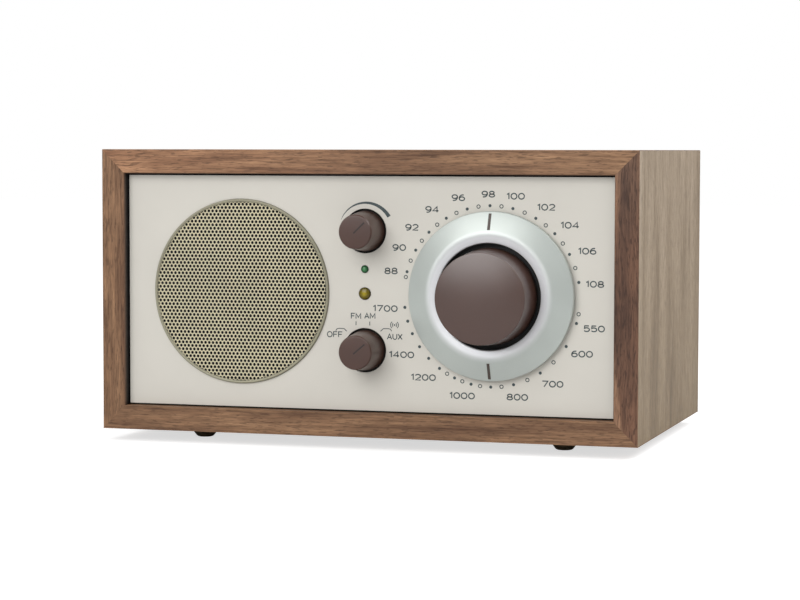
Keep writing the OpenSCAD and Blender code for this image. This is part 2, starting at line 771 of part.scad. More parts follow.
module power_lamp() {
    color([0.10, 0.45, 0.25]) lamp(power_led_dz, 1.5);
}

module tuning_lamp() {
    color([0.55, 0.45, 0.10]) lamp(0, 2.4);
}

// ---------- main board and what stands on it ----------

module on_board(x, y) {
    translate([board_x + x, board_y + y, board_z + board_pcb_t]) children();
}

module at_posts() {
    for (x = [-1, 1], y = [-1, 1])
        translate([board_x + x * post_xy[0], board_y + y * post_xy[1], 0]) children();
}

module main_board() {
    color([0.10, 0.35, 0.18]) in_cabinet() difference() {
        translate([board_x, board_y, board_z]) centred_box(board_w, board_depth, board_pcb_t);
        at_posts() cylinder(h = board_z + 10, r = 1.6);
    }
}

module board_posts() {
    color([0.88, 0.87, 0.83]) in_cabinet() at_posts() {
        translate([0, 0, board_t - 3.8]) cylinder(h = board_z - board_t + 4, r = 1.5);
        translate([0, 0, board_t]) cylinder(h = board_z - board_t, r = 3);
        translate([0, 0, board_z]) cylinder(h = board_pcb_t + 0.1, r = 1.5);
        translate([0, 0, board_z + board_pcb_t]) cylinder(h = 1.5, r1 = 2.2, r2 = 1);
    }
}

module smoothing_capacitors() {
    color([0.12, 0.16, 0.30]) in_cabinet() for (i = [0 : 2])
        on_board(6 - board_w / 2 + 8 + i * 16, 2 - board_depth / 2 + 10) {
            cylinder(h = 24, r = 6.2);
            translate([0, 0, 24]) cylinder(h = 0.6, r1 = 6.2, r2 = 5.4);
        }
}

module amplifier_heatsink() {
    color([0.14, 0.14, 0.15]) in_cabinet() on_board(22, 2) {
        centred_box(30, 3, 26);
        for (i = [-3 : 3]) translate([i * 4.5, -5.4, 0]) centred_box(1.4, 8, 26);
    }
}

module wireless_module() {
    color([0.72, 0.73, 0.74]) in_cabinet() on_board(-30, 6) {
        difference() {
            centred_box(20, 16, 3);
            translate([0, 0, 1]) centred_box(17, 13, 1);
        }
    }
}

module audio_jacks() {
    color([0.08, 0.08, 0.09]) in_cabinet() for (x = jack_xs)
        difference() {
            union() {
                translate([x - jack_w / 2, panel_y - jack_depth, jack_z - jack_h / 2])
                    cube([jack_w, jack_depth, jack_h]);
                to_back(x, panel_y - 0.1, jack_z) cylinder(h = back_panel_t + 1.1, r = 4);
            }
            to_back(x, panel_y - 10, jack_z) cylinder(h = back_panel_t + 12, r = jack_r);
        }
}

module pairing_switch() {
    color([0.20, 0.20, 0.20]) in_cabinet() difference() {
        translate([button_x, panel_y - 7, board_z + board_pcb_t]) centred_box(10, 6, 10);
        to_back(button_x, panel_y - 6.5, button_z) cylinder(h = 8, r = 1.5 + play);
    }
}

module pairing_button() {
    color([0.08, 0.08, 0.09]) in_cabinet() {
        to_back(button_x, panel_y - 6.5 + button_travel + 0.1, button_z)
            cylinder(h = 6.5 - button_travel, r = 1.5);
        to_back(button_x, panel_y - 4 + button_travel + gap, button_z)
            cylinder(h = 4 - button_travel - gap + back_panel_t + 1.8, r = button_r);
    }
}

// ---------- aerial parts ----------

module aerial_connector() {
    color([0.80, 0.81, 0.82]) in_cabinet() difference() {
        union() {
            to_back(aerial_x, panel_y, aerial_z)
                cylinder(h = back_panel_t + aerial_len, r = aerial_r);
            to_back(aerial_x, panel_y - 5, aerial_z) cylinder(h = 5, r = 6.5, $fn = 6);
            to_back(aerial_x, panel_back_y, aerial_z) cylinder(h = 2, r = 6.5, $fn = 6);
        }
        to_back(aerial_x, panel_back_y - 1, aerial_z) cylinder(h = aerial_len + 2, r = 2);
    }
}

module aerial_switch() {
    color([0.60, 0.61, 0.62]) in_cabinet() difference() {
        translate([slider_x, panel_y - 4, aerial_z]) translate([0, 0, -5])
            centred_box(18, 8, 10);
        translate([slider_x, panel_y - 3, aerial_z - slot_h / 2])
            centred_box(slot_w, 8, slot_h);
    }
}

// The slider at the left end of its slot
module aerial_slider() {
    color([0.08, 0.08, 0.09]) in_cabinet()
        translate([slider_x - slider_travel / 2, 0, aerial_z - slot_h / 2 + gap])
            translate([-slider_w / 2, panel_y - 6, 0])
                cube([slider_w, 6 + back_panel_t + 1.6, slot_h - 2 * gap]);
}

module ferrite_rod() {
    color([0.20, 0.19, 0.19]) in_cabinet() translate([rod_x - rod_len / 2, rod_y, rod_z])
        rotate([0, 90, 0]) cylinder(h = rod_len, r = rod_r);
}

module ferrite_coil() {
    color([0.72, 0.42, 0.20]) in_cabinet() translate([rod_x - 12, rod_y, rod_z])
        rotate([0, 90, 0]) ring(rod_r + 1.2, rod_r + play, 26);
}

// Two clips that hang the rod from the cabinet's top board
module rod_holders() {
    color([0.85, 0.84, 0.80]) in_cabinet() for (x = [-1, 1])
        translate([rod_x + x * (rod_len / 2 - 8), rod_y, rod_z]) rotate([0, 90, 0])
            translate([0, 0, -3]) difference() {
                translate([rod_z - inner_top, -rod_r - 2, 0])
                    cube([inner_top - rod_z + rod_r + 2, 2 * rod_r + 4, 6]);
                translate([0, 0, -over]) cylinder(h = 6 + 2 * over, r = rod_r + play);
            }
}

// ---------- mains parts ----------

module transformer_core() {
    window_w = 8;
    color([0.42, 0.43, 0.45]) in_cabinet() translate([core_x, core_y, board_t]) difference() {
        union() {
            centred_box(16, core_stack + 20, 2);
            centred_box(core_w, core_stack, 2 + core_h);
        }
        for (x = [-1, 1]) translate([x * (core_leg + window_w) / 2, 0, 8])
            centred_box(window_w, core_stack + 2 * over, core_h - 12);
        for (y = [-1, 1]) translate([0, y * (core_stack / 2 + 5), -over])
            cylinder(h = 5, r = screw_r + play);
    }
}

module transformer_coil() {
    color([0.62, 0.36, 0.16]) in_cabinet()
        translate([core_x, core_y, board_t + 8 + gap / 2]) difference() {
            centred_box(core_leg + 14, core_stack + 14, core_h - 12 - gap);
            translate([0, 0, -over])
                centred_box(core_leg + 2 * play, core_stack + 2 * play, core_h);
        }
}

module mains_inlet() {
    wall = inlet_wall;
    color([0.07, 0.07, 0.07]) in_cabinet()
        to_back(inlet_x, panel_back_y - inlet_depth, inlet_z) difference() {
            union() {
                centred_box(inlet_w + 2 * wall, inlet_h + 2 * wall, inlet_depth);
                translate([0, 0, inlet_depth]) centred_box(inlet_w + 10, inlet_h + 8, 1.6);
            }
            translate([0, 0, 2]) centred_box(inlet_w, inlet_h, inlet_depth + 2 * over);
            for (x = [-1, 1]) translate([x * pin_spacing / 2, 0, -over])
                cylinder(h = 5, r = 1.2 + play / 2);
        }
}

module inlet_pins() {
    color([0.82, 0.70, 0.40]) in_cabinet() for (x = [-1, 1])
        to_back(inlet_x + x * pin_spacing / 2, panel_back_y - inlet_depth - 4, inlet_z)
            cylinder(h = inlet_depth + 2, r = 1.2);
}

cabinet_top();
cabinet_bottom();
cabinet_left_side();
cabinet_right_side();
corner_blocks();
baffle_board();
faceplate();
back_panel();
rubber_feet();
bass_port();
wood_screws();
speaker_grille();
speaker_basket();
speaker_screws();
speaker_magnet();
speaker_yoke();
speaker_surround();
speaker_spider();
speaker_cone();
dust_cap();
voice_coil();
tuning_knob();
tuning_shaft();
dial_disc();
dial_carrier();
planet_gear_1();
planet_gear_2();
planet_gear_3();
drive_housing();
drive_screws();
capacitor_frame();
capacitor_stator();
capacitor_rotor();
volume_knob();
volume_shaft();
volume_potentiometer();
mode_knob();
mode_shaft();
mode_switch();
shaft_nuts();
power_lamp();
tuning_lamp();
main_board();
board_posts();
smoothing_capacitors();
amplifier_heatsink();
wireless_module();
audio_jacks();
pairing_switch();
pairing_button();
aerial_connector();
aerial_switch();
aerial_slider();
ferrite_rod();
ferrite_coil();
rod_holders();
transformer_core();
transformer_coil();
mains_inlet();
inlet_pins();
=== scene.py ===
"""Looks of the tabletop radio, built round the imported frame.
Lengths are in metres; MM turns millimetres into them."""

import json
import math

import bmesh
import bpy
from mathutils import Matrix, Vector


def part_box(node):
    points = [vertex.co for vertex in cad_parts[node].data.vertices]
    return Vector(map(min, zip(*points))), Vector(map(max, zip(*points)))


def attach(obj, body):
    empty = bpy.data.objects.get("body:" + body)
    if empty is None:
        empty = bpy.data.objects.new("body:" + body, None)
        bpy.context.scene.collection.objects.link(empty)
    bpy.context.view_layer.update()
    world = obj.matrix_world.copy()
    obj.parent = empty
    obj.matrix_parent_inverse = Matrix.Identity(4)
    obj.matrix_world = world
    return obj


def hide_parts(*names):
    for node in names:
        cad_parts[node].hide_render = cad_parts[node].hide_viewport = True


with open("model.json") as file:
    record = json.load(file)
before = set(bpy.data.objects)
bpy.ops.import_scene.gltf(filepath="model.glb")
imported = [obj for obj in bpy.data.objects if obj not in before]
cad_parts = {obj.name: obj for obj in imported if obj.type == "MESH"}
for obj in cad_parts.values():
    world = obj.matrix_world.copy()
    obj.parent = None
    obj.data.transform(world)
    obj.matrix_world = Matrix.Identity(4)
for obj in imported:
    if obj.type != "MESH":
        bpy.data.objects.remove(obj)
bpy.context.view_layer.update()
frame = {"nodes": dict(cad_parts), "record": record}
MM = 0.001
AXIS_R = 0.01  # innermost radius of a closed turned piece, in mm
NODES = frame["nodes"]


# ---------- places taken from the frame ----------


def middle(node):
    low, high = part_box(node)
    return (low + high) / 2


cabinet_low, cabinet_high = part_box("cabinet_left_side")
FRONT_Y = cabinet_low.y
FLOOR_TO_CABINET = cabinet_low.z
BOARD_T = cabinet_high.x - cabinet_low.x
PLATE_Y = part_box("faceplate")[0].y
DIAL = middle("dial_disc")
SPEAKER = middle("speaker_grille")
VOLUME = middle("volume_knob")
MODE = middle("mode_knob")
POWER = middle("power_lamp")
AMBER = middle("tuning_lamp")


# ---------- mesh helpers ----------

# Faces of a box whose corners run low then high on each axis, the first axis slowest
BOX_FACES = [(0, 1, 3, 2), (4, 6, 7, 5), (0, 2, 6, 4), (1, 5, 7, 3), (0, 4, 5, 1), (2, 3, 7, 6)]


def new_object(name, mesh):
    obj = bpy.data.objects.new(name, mesh)
    bpy.context.scene.collection.objects.link(obj)
    return obj


def mesh_object(name, verts, faces, smooth_angle=None):
    """A clean mesh with outward normals. Edges sharper than smooth_angle degrees stay sharp."""
    mesh = bpy.data.meshes.new(name)
    mesh.from_pydata([tuple(v) for v in verts], [], faces)
    mesh.validate()
    mesh.update()
    bm = bmesh.new()
    bm.from_mesh(mesh)
    bmesh.ops.remove_doubles(bm, verts=bm.verts, dist=1e-7)
    bmesh.ops.recalc_face_normals(bm, faces=bm.faces)
    bm.to_mesh(mesh)
    bm.free()
    if smooth_angle is not None:
        for poly in mesh.polygons:
            poly.use_smooth = True
        mesh.set_sharp_from_angle(angle=math.radians(smooth_angle))
    return new_object(name, mesh)


def arc_points(cx, cy, rx, ry, start, end, count):
    """Points on an ellipse, angles in degrees anticlockwise from +x."""
    points = []
    for i in range(count + 1):
        a = math.radians(start + (end - start) * i / count)
        points.append((cx + rx * math.cos(a), cy + ry * math.sin(a)))
    return points


def fillet(profile, index, radius, count=5):
    """Replaces one corner of a profile by a round of that radius."""
    p0, p1, p2 = (Vector(profile[i]) for i in (index - 1, index, index + 1))
    a, b = (p0 - p1).normalized(), (p2 - p1).normalized()
    half = a.angle(b) / 2
    reach = radius / math.tan(half)
    centre = p1 + (a + b).normalized() * radius / math.sin(half)
    start, end = p1 + a * reach - centre, p1 + b * reach - centre
    turn = start.angle_signed(end)
    points = []
    for i in range(count + 1):
        t = -turn * i / count
        c, s = math.cos(t), math.sin(t)
        points.append((centre.x + start.x * c - start.y * s, centre.y + start.x * s + start.y * c))
    return profile[:index] + points + profile[index + 1 :]


def round_profile(profile, rounds):
    """rounds maps a corner's index to its radius, all in mm."""
    for index in sorted(rounds, reverse=True):
        profile = fillet(profile, index, rounds[index])
    return profile


def ring_faces(rings, segments):
    """Quads between rings of points that follow one another."""
    faces = []
    for j in range(rings - 1):
        for k in range(segments):
            k2 = (k + 1) % segments
            faces.append((j * segments + k, j * segments + k2, (j + 1) * segments + k2, (j + 1) * segments + k))
    return faces


def lathe(name, profile, at, segments=160, smooth_angle=35):
    """Turns a profile of (radius, height) in mm about an axis that points to the front, from the faceplate."""
    verts = []
    for radius, height in profile:
        for k in range(segments):
            a = 2 * math.pi * k / segments
            verts.append((at.x + radius * MM * math.cos(a), PLATE_Y - height * MM,
                          at.z + radius * MM * math.sin(a)))
    return mesh_object(name, verts, ring_faces(len(profile), segments), smooth_angle)


# ---------- material helpers ----------


class Paint:
    """Small wrapper that adds and links shader nodes."""

    def __init__(self, name):
        self.mat = bpy.data.materials.new(name)
        self.mat.use_nodes = True
        self.tree = self.mat.node_tree
        self.shader = self.tree.nodes["Principled BSDF"]
        self.coords = self.tree.nodes.new("ShaderNodeTexCoord").outputs["Object"]

    def link(self, output, socket):
        self.tree.links.new(output, socket)

    def feed(self, socket, value):
        """Links an output to a socket, or sets the socket to a plain value."""
        if hasattr(value, "is_linked"):
            self.link(value, socket)
        elif socket.type == "RGBA":
            socket.default_value = (*value, 1.0)
        else:
            socket.default_value = value

    def node(self, kind, **inputs):
        made = self.tree.nodes.new(kind)
        for key, value in inputs.items():
            self.feed(made.inputs[key.replace("_", " ")], value)
        return made

    def moved(self, scale=(1, 1, 1), rotation=(0, 0, 0), location=(0, 0, 0), source=None):
        made = self.node("ShaderNodeMapping", Scale=scale, Rotation=rotation, Location=location,
                         Vector=source or self.coords)
        return made.outputs["Vector"]

    def split(self, source=None):
        return self.node("ShaderNodeSeparateXYZ", Vector=source or self.coords).outputs

    def noise(self, vector, scale, detail=4.0, rough=0.55):
        made = self.node("ShaderNodeTexNoise", Vector=vector, Scale=scale, Detail=detail, Roughness=rough)
        return made.outputs["Fac"]

    def wave(self, direction, scale, distortion):
        made = self.node("ShaderNodeTexWave", Vector=self.coords, Scale=scale, Distortion=distortion)
        made.bands_direction = direction
        return made.outputs["Fac"]

    def ramp(self, fac, stops):
        made = self.tree.nodes.new("ShaderNodeValToRGB")
        self.link(fac, made.inputs["Fac"])
        ramp = made.color_ramp
        while len(ramp.elements) < len(stops):
            ramp.elements.new(0.5)
        for element, (place, colour) in zip(ramp.elements, stops):
            element.position = place
            element.color = (*colour, 1.0)
        return made.outputs["Color"]

    def span(self, fac, low, high, start=0.0, end=1.0):
        """Maps start..end to low..high."""
        made = self.node("ShaderNodeMapRange", Value=fac, From_Min=start, From_Max=end, To_Min=low, To_Max=high)
        return made.outputs["Result"]

    def mix(self, fac, a, b, mode="MIX"):
        made = self.tree.nodes.new("ShaderNodeMix")
        made.data_type = "RGBA"
        made.blend_type = mode
        for index, value in ((0, fac), (6, a), (7, b)):
            self.feed(made.inputs[index], value)
        return made.outputs[2]

    def operate(self, kind, operation, *values):
        made = self.tree.nodes.new(kind)
        made.operation = operation
        for socket, value in zip(made.inputs, values):
            self.feed(socket, value)
        return made.outputs

    def math(self, operation, *values):
        return self.operate("ShaderNodeMath", operation, *values)[0]

    def vector(self, operation, a, b):
        outputs = self.operate("ShaderNodeVectorMath", operation, a, b)
        return outputs["Value" if operation == "DOT_PRODUCT" else "Vector"]

    def bump(self, height, strength, distance):
        return self.node("ShaderNodeBump", Height=height, Strength=strength, Distance=distance).outputs["Normal"]

    def colour(self, value):
        self.link(value, self.shader.inputs["Base Color"])

    def rough(self, value):
        self.link(value, self.shader.inputs["Roughness"])

    def normal(self, value):
        self.link(value, self.shader.inputs["Normal"])

    def set(self, **values):
        for key, value in values.items():
            self.shader.inputs[key.replace("_", " ")].default_value = value


def shade(colour, factor):
    """A colour made darker or lighter."""
    return tuple(min(1.0, c * factor) for c in colour)


def plain(name, colour, rough, metal=0.0, grain=900.0, bump=0.03, vary=0.10, spread=0.08, coat=0.0,
          stretch=(1, 1, 1)):
    """A surface with a mottled colour, uneven roughness and a fine bump."""
    p = Paint(name)
    cloud = p.noise(p.moved(stretch), 38.0, 5.0)
    fine = p.noise(p.moved(stretch), grain, 3.0, 0.6)
    p.colour(p.ramp(cloud, [(0.30, shade(colour, 1 - vary)), (0.70, shade(colour, 1 + vary))]))
    p.rough(p.span(cloud, rough - spread, rough + spread, 0.3, 0.7))
    p.normal(p.bump(fine, bump, 0.0002))
    p.set(Metallic=metal)
    if coat:
        p.set(Coat_Weight=coat, Coat_Roughness=0.2)
    return p.mat


def walnut(name, along, seed, light, dark, wander=0.003, contrast=0.9, painted_light_fades=(), fine=1.0):
    """Oiled walnut veneer: wandering bands, growth lines, fibres and open pores along one axis.
    wander is how far the lines stray, contrast how strongly they show.
    Each fade is (direction, from, to, colour there), painted light and shade: a way that the veneer's tone drifts by
    place.
    fine above 1 gives closer and shorter lines."""
    p = Paint(name)
    axis = "XYZ".index(along)

    def stretched(length, source=None):
        scale = tuple(length if i == axis else 1.0 for i in range(3))
        return p.moved(scale, location=(seed, seed * 0.7, seed * 1.3), source=source)

    sway = p.node("ShaderNodeTexNoise", Vector=stretched(0.30), Scale=34.0, Detail=2.0).outputs["Color"]
    centred = p.vector("SUBTRACT", sway, (0.5, 0.5, 0.5))
    bent = p.vector("ADD", p.coords, p.vector("MULTIPLY", centred, (wander, wander, wander)))
    band = p.noise(stretched(0.06 * fine, bent), 190.0 / fine, 4.0, 0.6)
    line = p.noise(stretched(0.03 * fine, bent), 900.0 * fine, 4.0, 0.65)
    fibre = p.noise(stretched(0.05 * fine, bent), 2300.0, 3.0, 0.7)
    pores = p.noise(stretched(0.14, bent), 1900.0, 2.0, 0.5)
    middle_tone = tuple(0.45 * a + 0.55 * b for a, b in zip(light, dark))
    base = p.ramp(band, [(0.32, shade(dark, 0.9)), (0.47, middle_tone), (0.64, light)])
    lines = p.ramp(line, [(0.30, (0.52, 0.46, 0.42)), (0.48, (0.92, 0.90, 0.89)), (0.68, (1.22, 1.20, 1.18))])
    fibres = p.ramp(fibre, [(0.30, (0.60, 0.56, 0.54)), (0.52, (1.0, 1.0, 1.0)), (0.72, (1.18, 1.18, 1.16))])
    figured = p.mix(contrast, p.mix(contrast, base, lines, "MULTIPLY"), fibres, "MULTIPLY")
    # Painted light and shade: each fade multiplies the veneer's colour towards its colour there
    for direction, start, end, there in painted_light_fades:
        drift = p.span(p.vector("DOT_PRODUCT", bent, direction), 0.0, 1.0, start, end)
        figured = p.mix(drift, figured, p.mix(1.0, figured, there, "MULTIPLY"))
    holes = p.span(pores, 1.0, 0.0, 0.36, 0.43)
    p.colour(p.mix(p.math("MULTIPLY", holes, 0.55), figured, shade(dark, 0.5)))
    p.rough(p.span(line, 0.56, 0.40, 0.3, 0.7))
    relief = p.math("SUBTRACT", fibre, p.math("MULTIPLY", holes, 0.8))
    p.normal(p.bump(relief, 0.25, 0.00012))
    p.set(Specular_IOR_Level=0.32)
    return p.mat


def recess_shade(name):
    """The inner edge of the front: painted shade, darkest deep in the recess, that fades out towards the front corner.
    """
    p = Paint(name)
    cloud = p.noise(p.moved((1, 0.3, 1)), 700.0, 4.0, 0.6)
    depth = p.span(p.split()["Y"], 0.0, 1.0, FRONT_Y, FRONT_Y + 2.6 * MM)
    depth = p.math("ADD", depth, p.span(cloud, -0.15, 0.15))
    p.colour(p.ramp(depth, [(0.05, (0.16, 0.085, 0.048)), (0.5, (0.050, 0.026, 0.015)), (0.95, (0.008, 0.005, 0.004))]))
    p.rough(p.span(cloud, 0.5, 0.7))
    p.normal(p.bump(cloud, 0.2, 0.0001))
    return p.mat


def radial(p, at):
    """Distance from an axis along Y through at, for turned parts."""
    parts = p.split(p.moved(location=(-at.x, 0, -at.z)))
    x, z = parts["X"], parts["Z"]
    return p.math("SQRT", p.math("ADD", p.math("MULTIPLY", x, x), p.math("MULTIPLY", z, z)))


def tool_lines(p, distance, scale):
    """Rings of a turning tool, from the distance to the axis."""
    return p.noise(p.node("ShaderNodeCombineXYZ", X=distance).outputs["Vector"], scale, 4.0, 0.7)


def turned(name, colour, rough, metal, at, rings=0.16, depth=0.05, vary=0.05, land_highlight=None):
    """A turned surface: faint concentric tool lines under a satin finish.
    The paler middle's (radius in mm, colour) comes as the last argument: a polished band, painted paler as a reflection
    of the bright room."""
    p = Paint(name)
    distance = radial(p, at)
    line = tool_lines(p, distance, 5200.0)
    cloud = p.noise(p.moved(), 60.0, 4.0)
    grit = p.noise(p.moved(), 2600.0, 3.0, 0.6)
    tone = p.ramp(p.math("ADD", p.math("MULTIPLY", line, 0.5), p.math("MULTIPLY", cloud, 0.5)),
                  [(0.35, shade(colour, 1 - vary)), (0.65, shade(colour, 1 + vary))])
    if land_highlight:
        # Painted reflection: the dial goes paler towards its middle
        pale = p.span(distance, 1.0, 0.0, (land_highlight[0] - 0.9) * MM, (land_highlight[0] + 2.0) * MM)
        tone = p.mix(p.math("POWER", pale, 1.4), tone, land_highlight[1])
    p.colour(tone)
    p.rough(p.span(line, rough - 0.04, rough + 0.05, 0.3, 0.7))
    blend = p.math("ADD", p.math("MULTIPLY", line, rings), p.math("MULTIPLY", grit, 1 - rings))
    p.normal(p.bump(blend, depth, 0.00012))
    p.set(Metallic=metal)
    return p.mat


def winding(name, colour, axis, pitch):
    """Close-wound wire: a ridge for each turn."""
    p = Paint(name)
    bands_per_metre = 20
    ridges = p.wave(axis, 1 / (pitch * MM) / bands_per_metre, 0.4)
    cloud = p.noise(p.moved(), 120.0)
    wire = p.ramp(cloud, [(0.3, shade(colour, 0.85)), (0.7, shade(colour, 1.15))])
    # Painted shade: darker between the turns, in the grooves
    p.colour(p.mix(p.span(ridges, 0.6, 0.0), wire, shade(colour, 0.25)))
    p.rough(p.span(cloud, 0.28, 0.42))
    p.normal(p.bump(ridges, 0.7, 0.0003))
    p.set(Metallic=0.8)
    return p.mat


def laminations(name):
    """Stacked steel sheets seen on edge, varnished."""
    p = Paint(name)
    sheets = p.wave("Y", 100.0, 0.6)
    stain = p.noise(p.moved(), 160.0, 5.0)
    p.colour(p.mix(p.span(stain, 0.0, 0.55, 0.45, 0.7), (0.20, 0.205, 0.215), (0.22, 0.12, 0.06)))
    p.rough(p.span(stain, 0.35, 0.6))
    p.normal(p.bump(sheets, 0.5, 0.0002))
    p.set(Metallic=0.85)
    return p.mat


def board_green(name):
    """Solder resist over copper: darker lanes with a raised edge."""
    p = Paint(name)
    lanes = p.node("ShaderNodeTexBrick", Vector=p.moved(rotation=(0, 0, 0.785)), Scale=260.0, Mortar_Size=0.03,
                   Color1=(0.02, 0.14, 0.06), Color2=(0.025, 0.19, 0.08), Mortar=(0.01, 0.07, 0.03))
    cloud = p.noise(p.moved(), 90.0)
    tint = p.ramp(cloud, [(0.3, (0.01, 0.08, 0.03)), (0.7, (0.04, 0.22, 0.1))])
    p.colour(p.mix(0.25, lanes.outputs["Color"], tint))
    p.rough(p.span(cloud, 0.22, 0.36))
    p.normal(p.bump(lanes.outputs["Fac"], 0.3, 0.0001))
    return p.mat


def weave(name, colour, size):
    """Resin-stiffened cloth with crossing threads."""
    p = Paint(name)
    cross = p.math("MAXIMUM", p.wave("X", size, 0.5), p.wave("Z", size, 0.5))
    p.colour(p.mix(cross, shade(colour, 0.45), shade(colour, 1.15)))
    p.rough(p.span(cross, 0.85, 0.65))
    p.normal(p.bump(cross, 0.6, 0.0003))
    return p.mat


def lens(name, deep, bright, at, radius):
    """A diffused lamp lens, deep in colour and darker still at its rim as painted shade, and paler in the middle where
    the die shows through, with a painted highlight there.
    """
    p = Paint(name)
    distance = radial(p, at)
    cloud = p.noise(p.moved(), 900.0)
    # Paler middle where the die shows through, also a painted highlight
    chip_and_highlight = p.math("ADD", p.span(distance, 1.0, 0.0, 0.0, radius * 0.62 * MM), p.span(cloud, -0.2, 0.2))
    # Painted shade: the rim darkens towards the dark gap round the lamp
    edge = p.span(distance, 0.0, 1.0, radius * 0.72 * MM, radius * MM)
    p.colour(p.mix(edge, p.mix(chip_and_highlight, deep, bright), shade(deep, 0.22)))
    p.rough(p.span(cloud, 0.10, 0.20))
    p.normal(p.bump(cloud, 0.05, 0.0001))
    p.set(Specular_IOR_Level=0.25, Coat_Weight=0.28, Coat_Roughness=0.04)
    return p.mat


# ---------- materials by the record's slots ----------

KNOB = (0.060, 0.023, 0.014)
DIAL_SILVER = (0.52, 0.56, 0.53)
# The dial's inner land is painted paler than the rest: a painted reflection of the bright room on a polished band
LAND_HIGHLIGHT_SILVER = (0.78, 0.79, 0.81)
FRONT_LIGHT = (0.37, 0.212, 0.114)
FRONT_DARK = (0.145, 0.068, 0.034)
RED_LIGHT = (0.225, 0.112, 0.064)
RED_DARK = (0.056, 0.026, 0.017)
# The right side's veneer is paler and greyer than the front's, with weaker figure: a painted sheen of light glancing
# off the side
SIDE_SHEEN_LIGHT = (0.46, 0.372, 0.278)
SIDE_SHEEN_DARK = (0.31, 0.235, 0.16)

SLOTS = {
    "walnut_veneer": walnut("walnut_underside", "X", 9.4, shade(FRONT_LIGHT, 0.95),
                            shade(FRONT_DARK, 0.9), fine=1.3),
    "block_pine": plain("sawn_pine", (0.62, 0.44, 0.26), 0.72,
                        grain=500, bump=0.4, vary=0.18, stretch=(1, 0.08, 1)),
    "fibre_board": plain("black_baffle_paint", (0.018, 0.015, 0.013), 0.7, grain=1300, bump=0.3),
    "black_board": plain("black_panel_paint", (0.022, 0.021, 0.020), 0.58, grain=750, bump=0.45, vary=0.2),
    "faceplate_paint": plain("faceplate_paint", (0.645, 0.618, 0.558), 0.42,
                             grain=2200, bump=0.05, vary=0.018, spread=0.04),
    # The feet's brown is lifted so that they stay light in the shadow under the cabinet: painted light
    "foot_rubber": plain("foot_rubber", (0.20, 0.15, 0.092), 0.62, grain=1400, bump=0.25, vary=0.2),
    "surround_rubber": plain("surround_rubber", (0.010, 0.010, 0.011), 0.55, grain=1500, bump=0.15, vary=0.2),
    "black_plastic": plain("black_plastic", (0.020, 0.020, 0.021), 0.45, grain=2400, bump=0.18, vary=0.15),
    "grille_paint": plain("grille_paint", (0.66, 0.60, 0.415), 0.42, metal=0.2, grain=2600, bump=0.06, vary=0.05),
    "basket_paint": plain("basket_paint", (0.020, 0.020, 0.021), 0.42, grain=1200, bump=0.12, vary=0.15),
    "plated_steel": plain("plated_steel", (0.55, 0.55, 0.54), 0.34, metal=1.0, grain=1600, bump=0.08, vary=0.12),
    "black_screws": plain("black_screws", (0.035, 0.035, 0.037), 0.38, metal=0.8, grain=1800, bump=0.1, vary=0.2),
    "ferrite": plain("ferrite", (0.055, 0.055, 0.058), 0.62, grain=1500, bump=0.35, vary=0.18),
    "spider_cloth": weave("spider_cloth", (0.55, 0.33, 0.12), 90.0),
    "cone_paper": plain("cone_paper", (0.020, 0.020, 0.020), 0.85, grain=900, bump=0.6, vary=0.3),
    "copper_wire": winding("copper_winding", (0.72, 0.32, 0.14), "X", 0.5),
    "knob_plastic": plain("knob_plastic", KNOB, 0.42, grain=2400, bump=0.12, vary=0.06),
    "brass_parts": plain("brass", (0.72, 0.50, 0.20), 0.28, metal=1.0, grain=1500, bump=0.06, vary=0.1),
    "dial_metal": turned("dial_satin", DIAL_SILVER, 0.38, 0.35, DIAL, land_highlight=(23.0, LAND_HIGHLIGHT_SILVER)),
    "die_cast": plain("die_cast", (0.42, 0.42, 0.41), 0.48, metal=0.9, grain=700, bump=0.3, vary=0.12),
    "nylon": plain("nylon", (0.72, 0.69, 0.60), 0.48, grain=1500, bump=0.06, vary=0.05),
    "vane_metal": plain("vane_metal", (0.68, 0.68, 0.67), 0.36,
                        metal=1.0, grain=900, bump=0.1, vary=0.08, stretch=(1, 1, 0.1)),
    "shaft_steel": turned("shaft_steel", (0.56, 0.56, 0.57), 0.30, 1.0, VOLUME),
    "green_lens": lens("green_lens", (0.016, 0.095, 0.030), (0.10, 0.32, 0.13), POWER, 1.52),
    "amber_lens": lens("amber_lens", (0.115, 0.086, 0.001), (0.40, 0.31, 0.02), AMBER, 2.42),
    "circuit_board": board_green("circuit_board"),
    "capacitor_sleeve": plain("capacitor_sleeve", (0.02, 0.03, 0.09), 0.26,
                              grain=700, bump=0.05, vary=0.2, coat=0.3),
    "black_aluminium": plain("black_aluminium", (0.030, 0.030, 0.032), 0.42,
                             metal=0.7, grain=900, bump=0.15, stretch=(1, 1, 0.08)),
    "tinned_steel": plain("tinned_steel", (0.58, 0.59, 0.60), 0.32,
                          metal=1.0, grain=500, bump=0.12, vary=0.12),
    "nickel_plate": plain("nickel_plate", (0.66, 0.64, 0.60), 0.18,
                          metal=1.0, grain=1200, bump=0.03, vary=0.06, spread=0.05),
    "core_steel": laminations("core_laminations"),
}

for part in frame["record"]["subparts"]:
    node = NODES[part["node"]]
    node.data.materials.clear()
    node.data.materials.append(SLOTS[part["material_slot"]])


def finish_piece(obj, body, slot, material, *replaced):
    """Gives a piece its material and its body, and hides the CAD nodes that it stands for; its slot is not used."""
    obj.data.materials.clear()
    obj.data.materials.append(material)
    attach(obj, body)
    if replaced:
        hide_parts(*replaced)
    return obj


# ---------- cabinet boards ----------


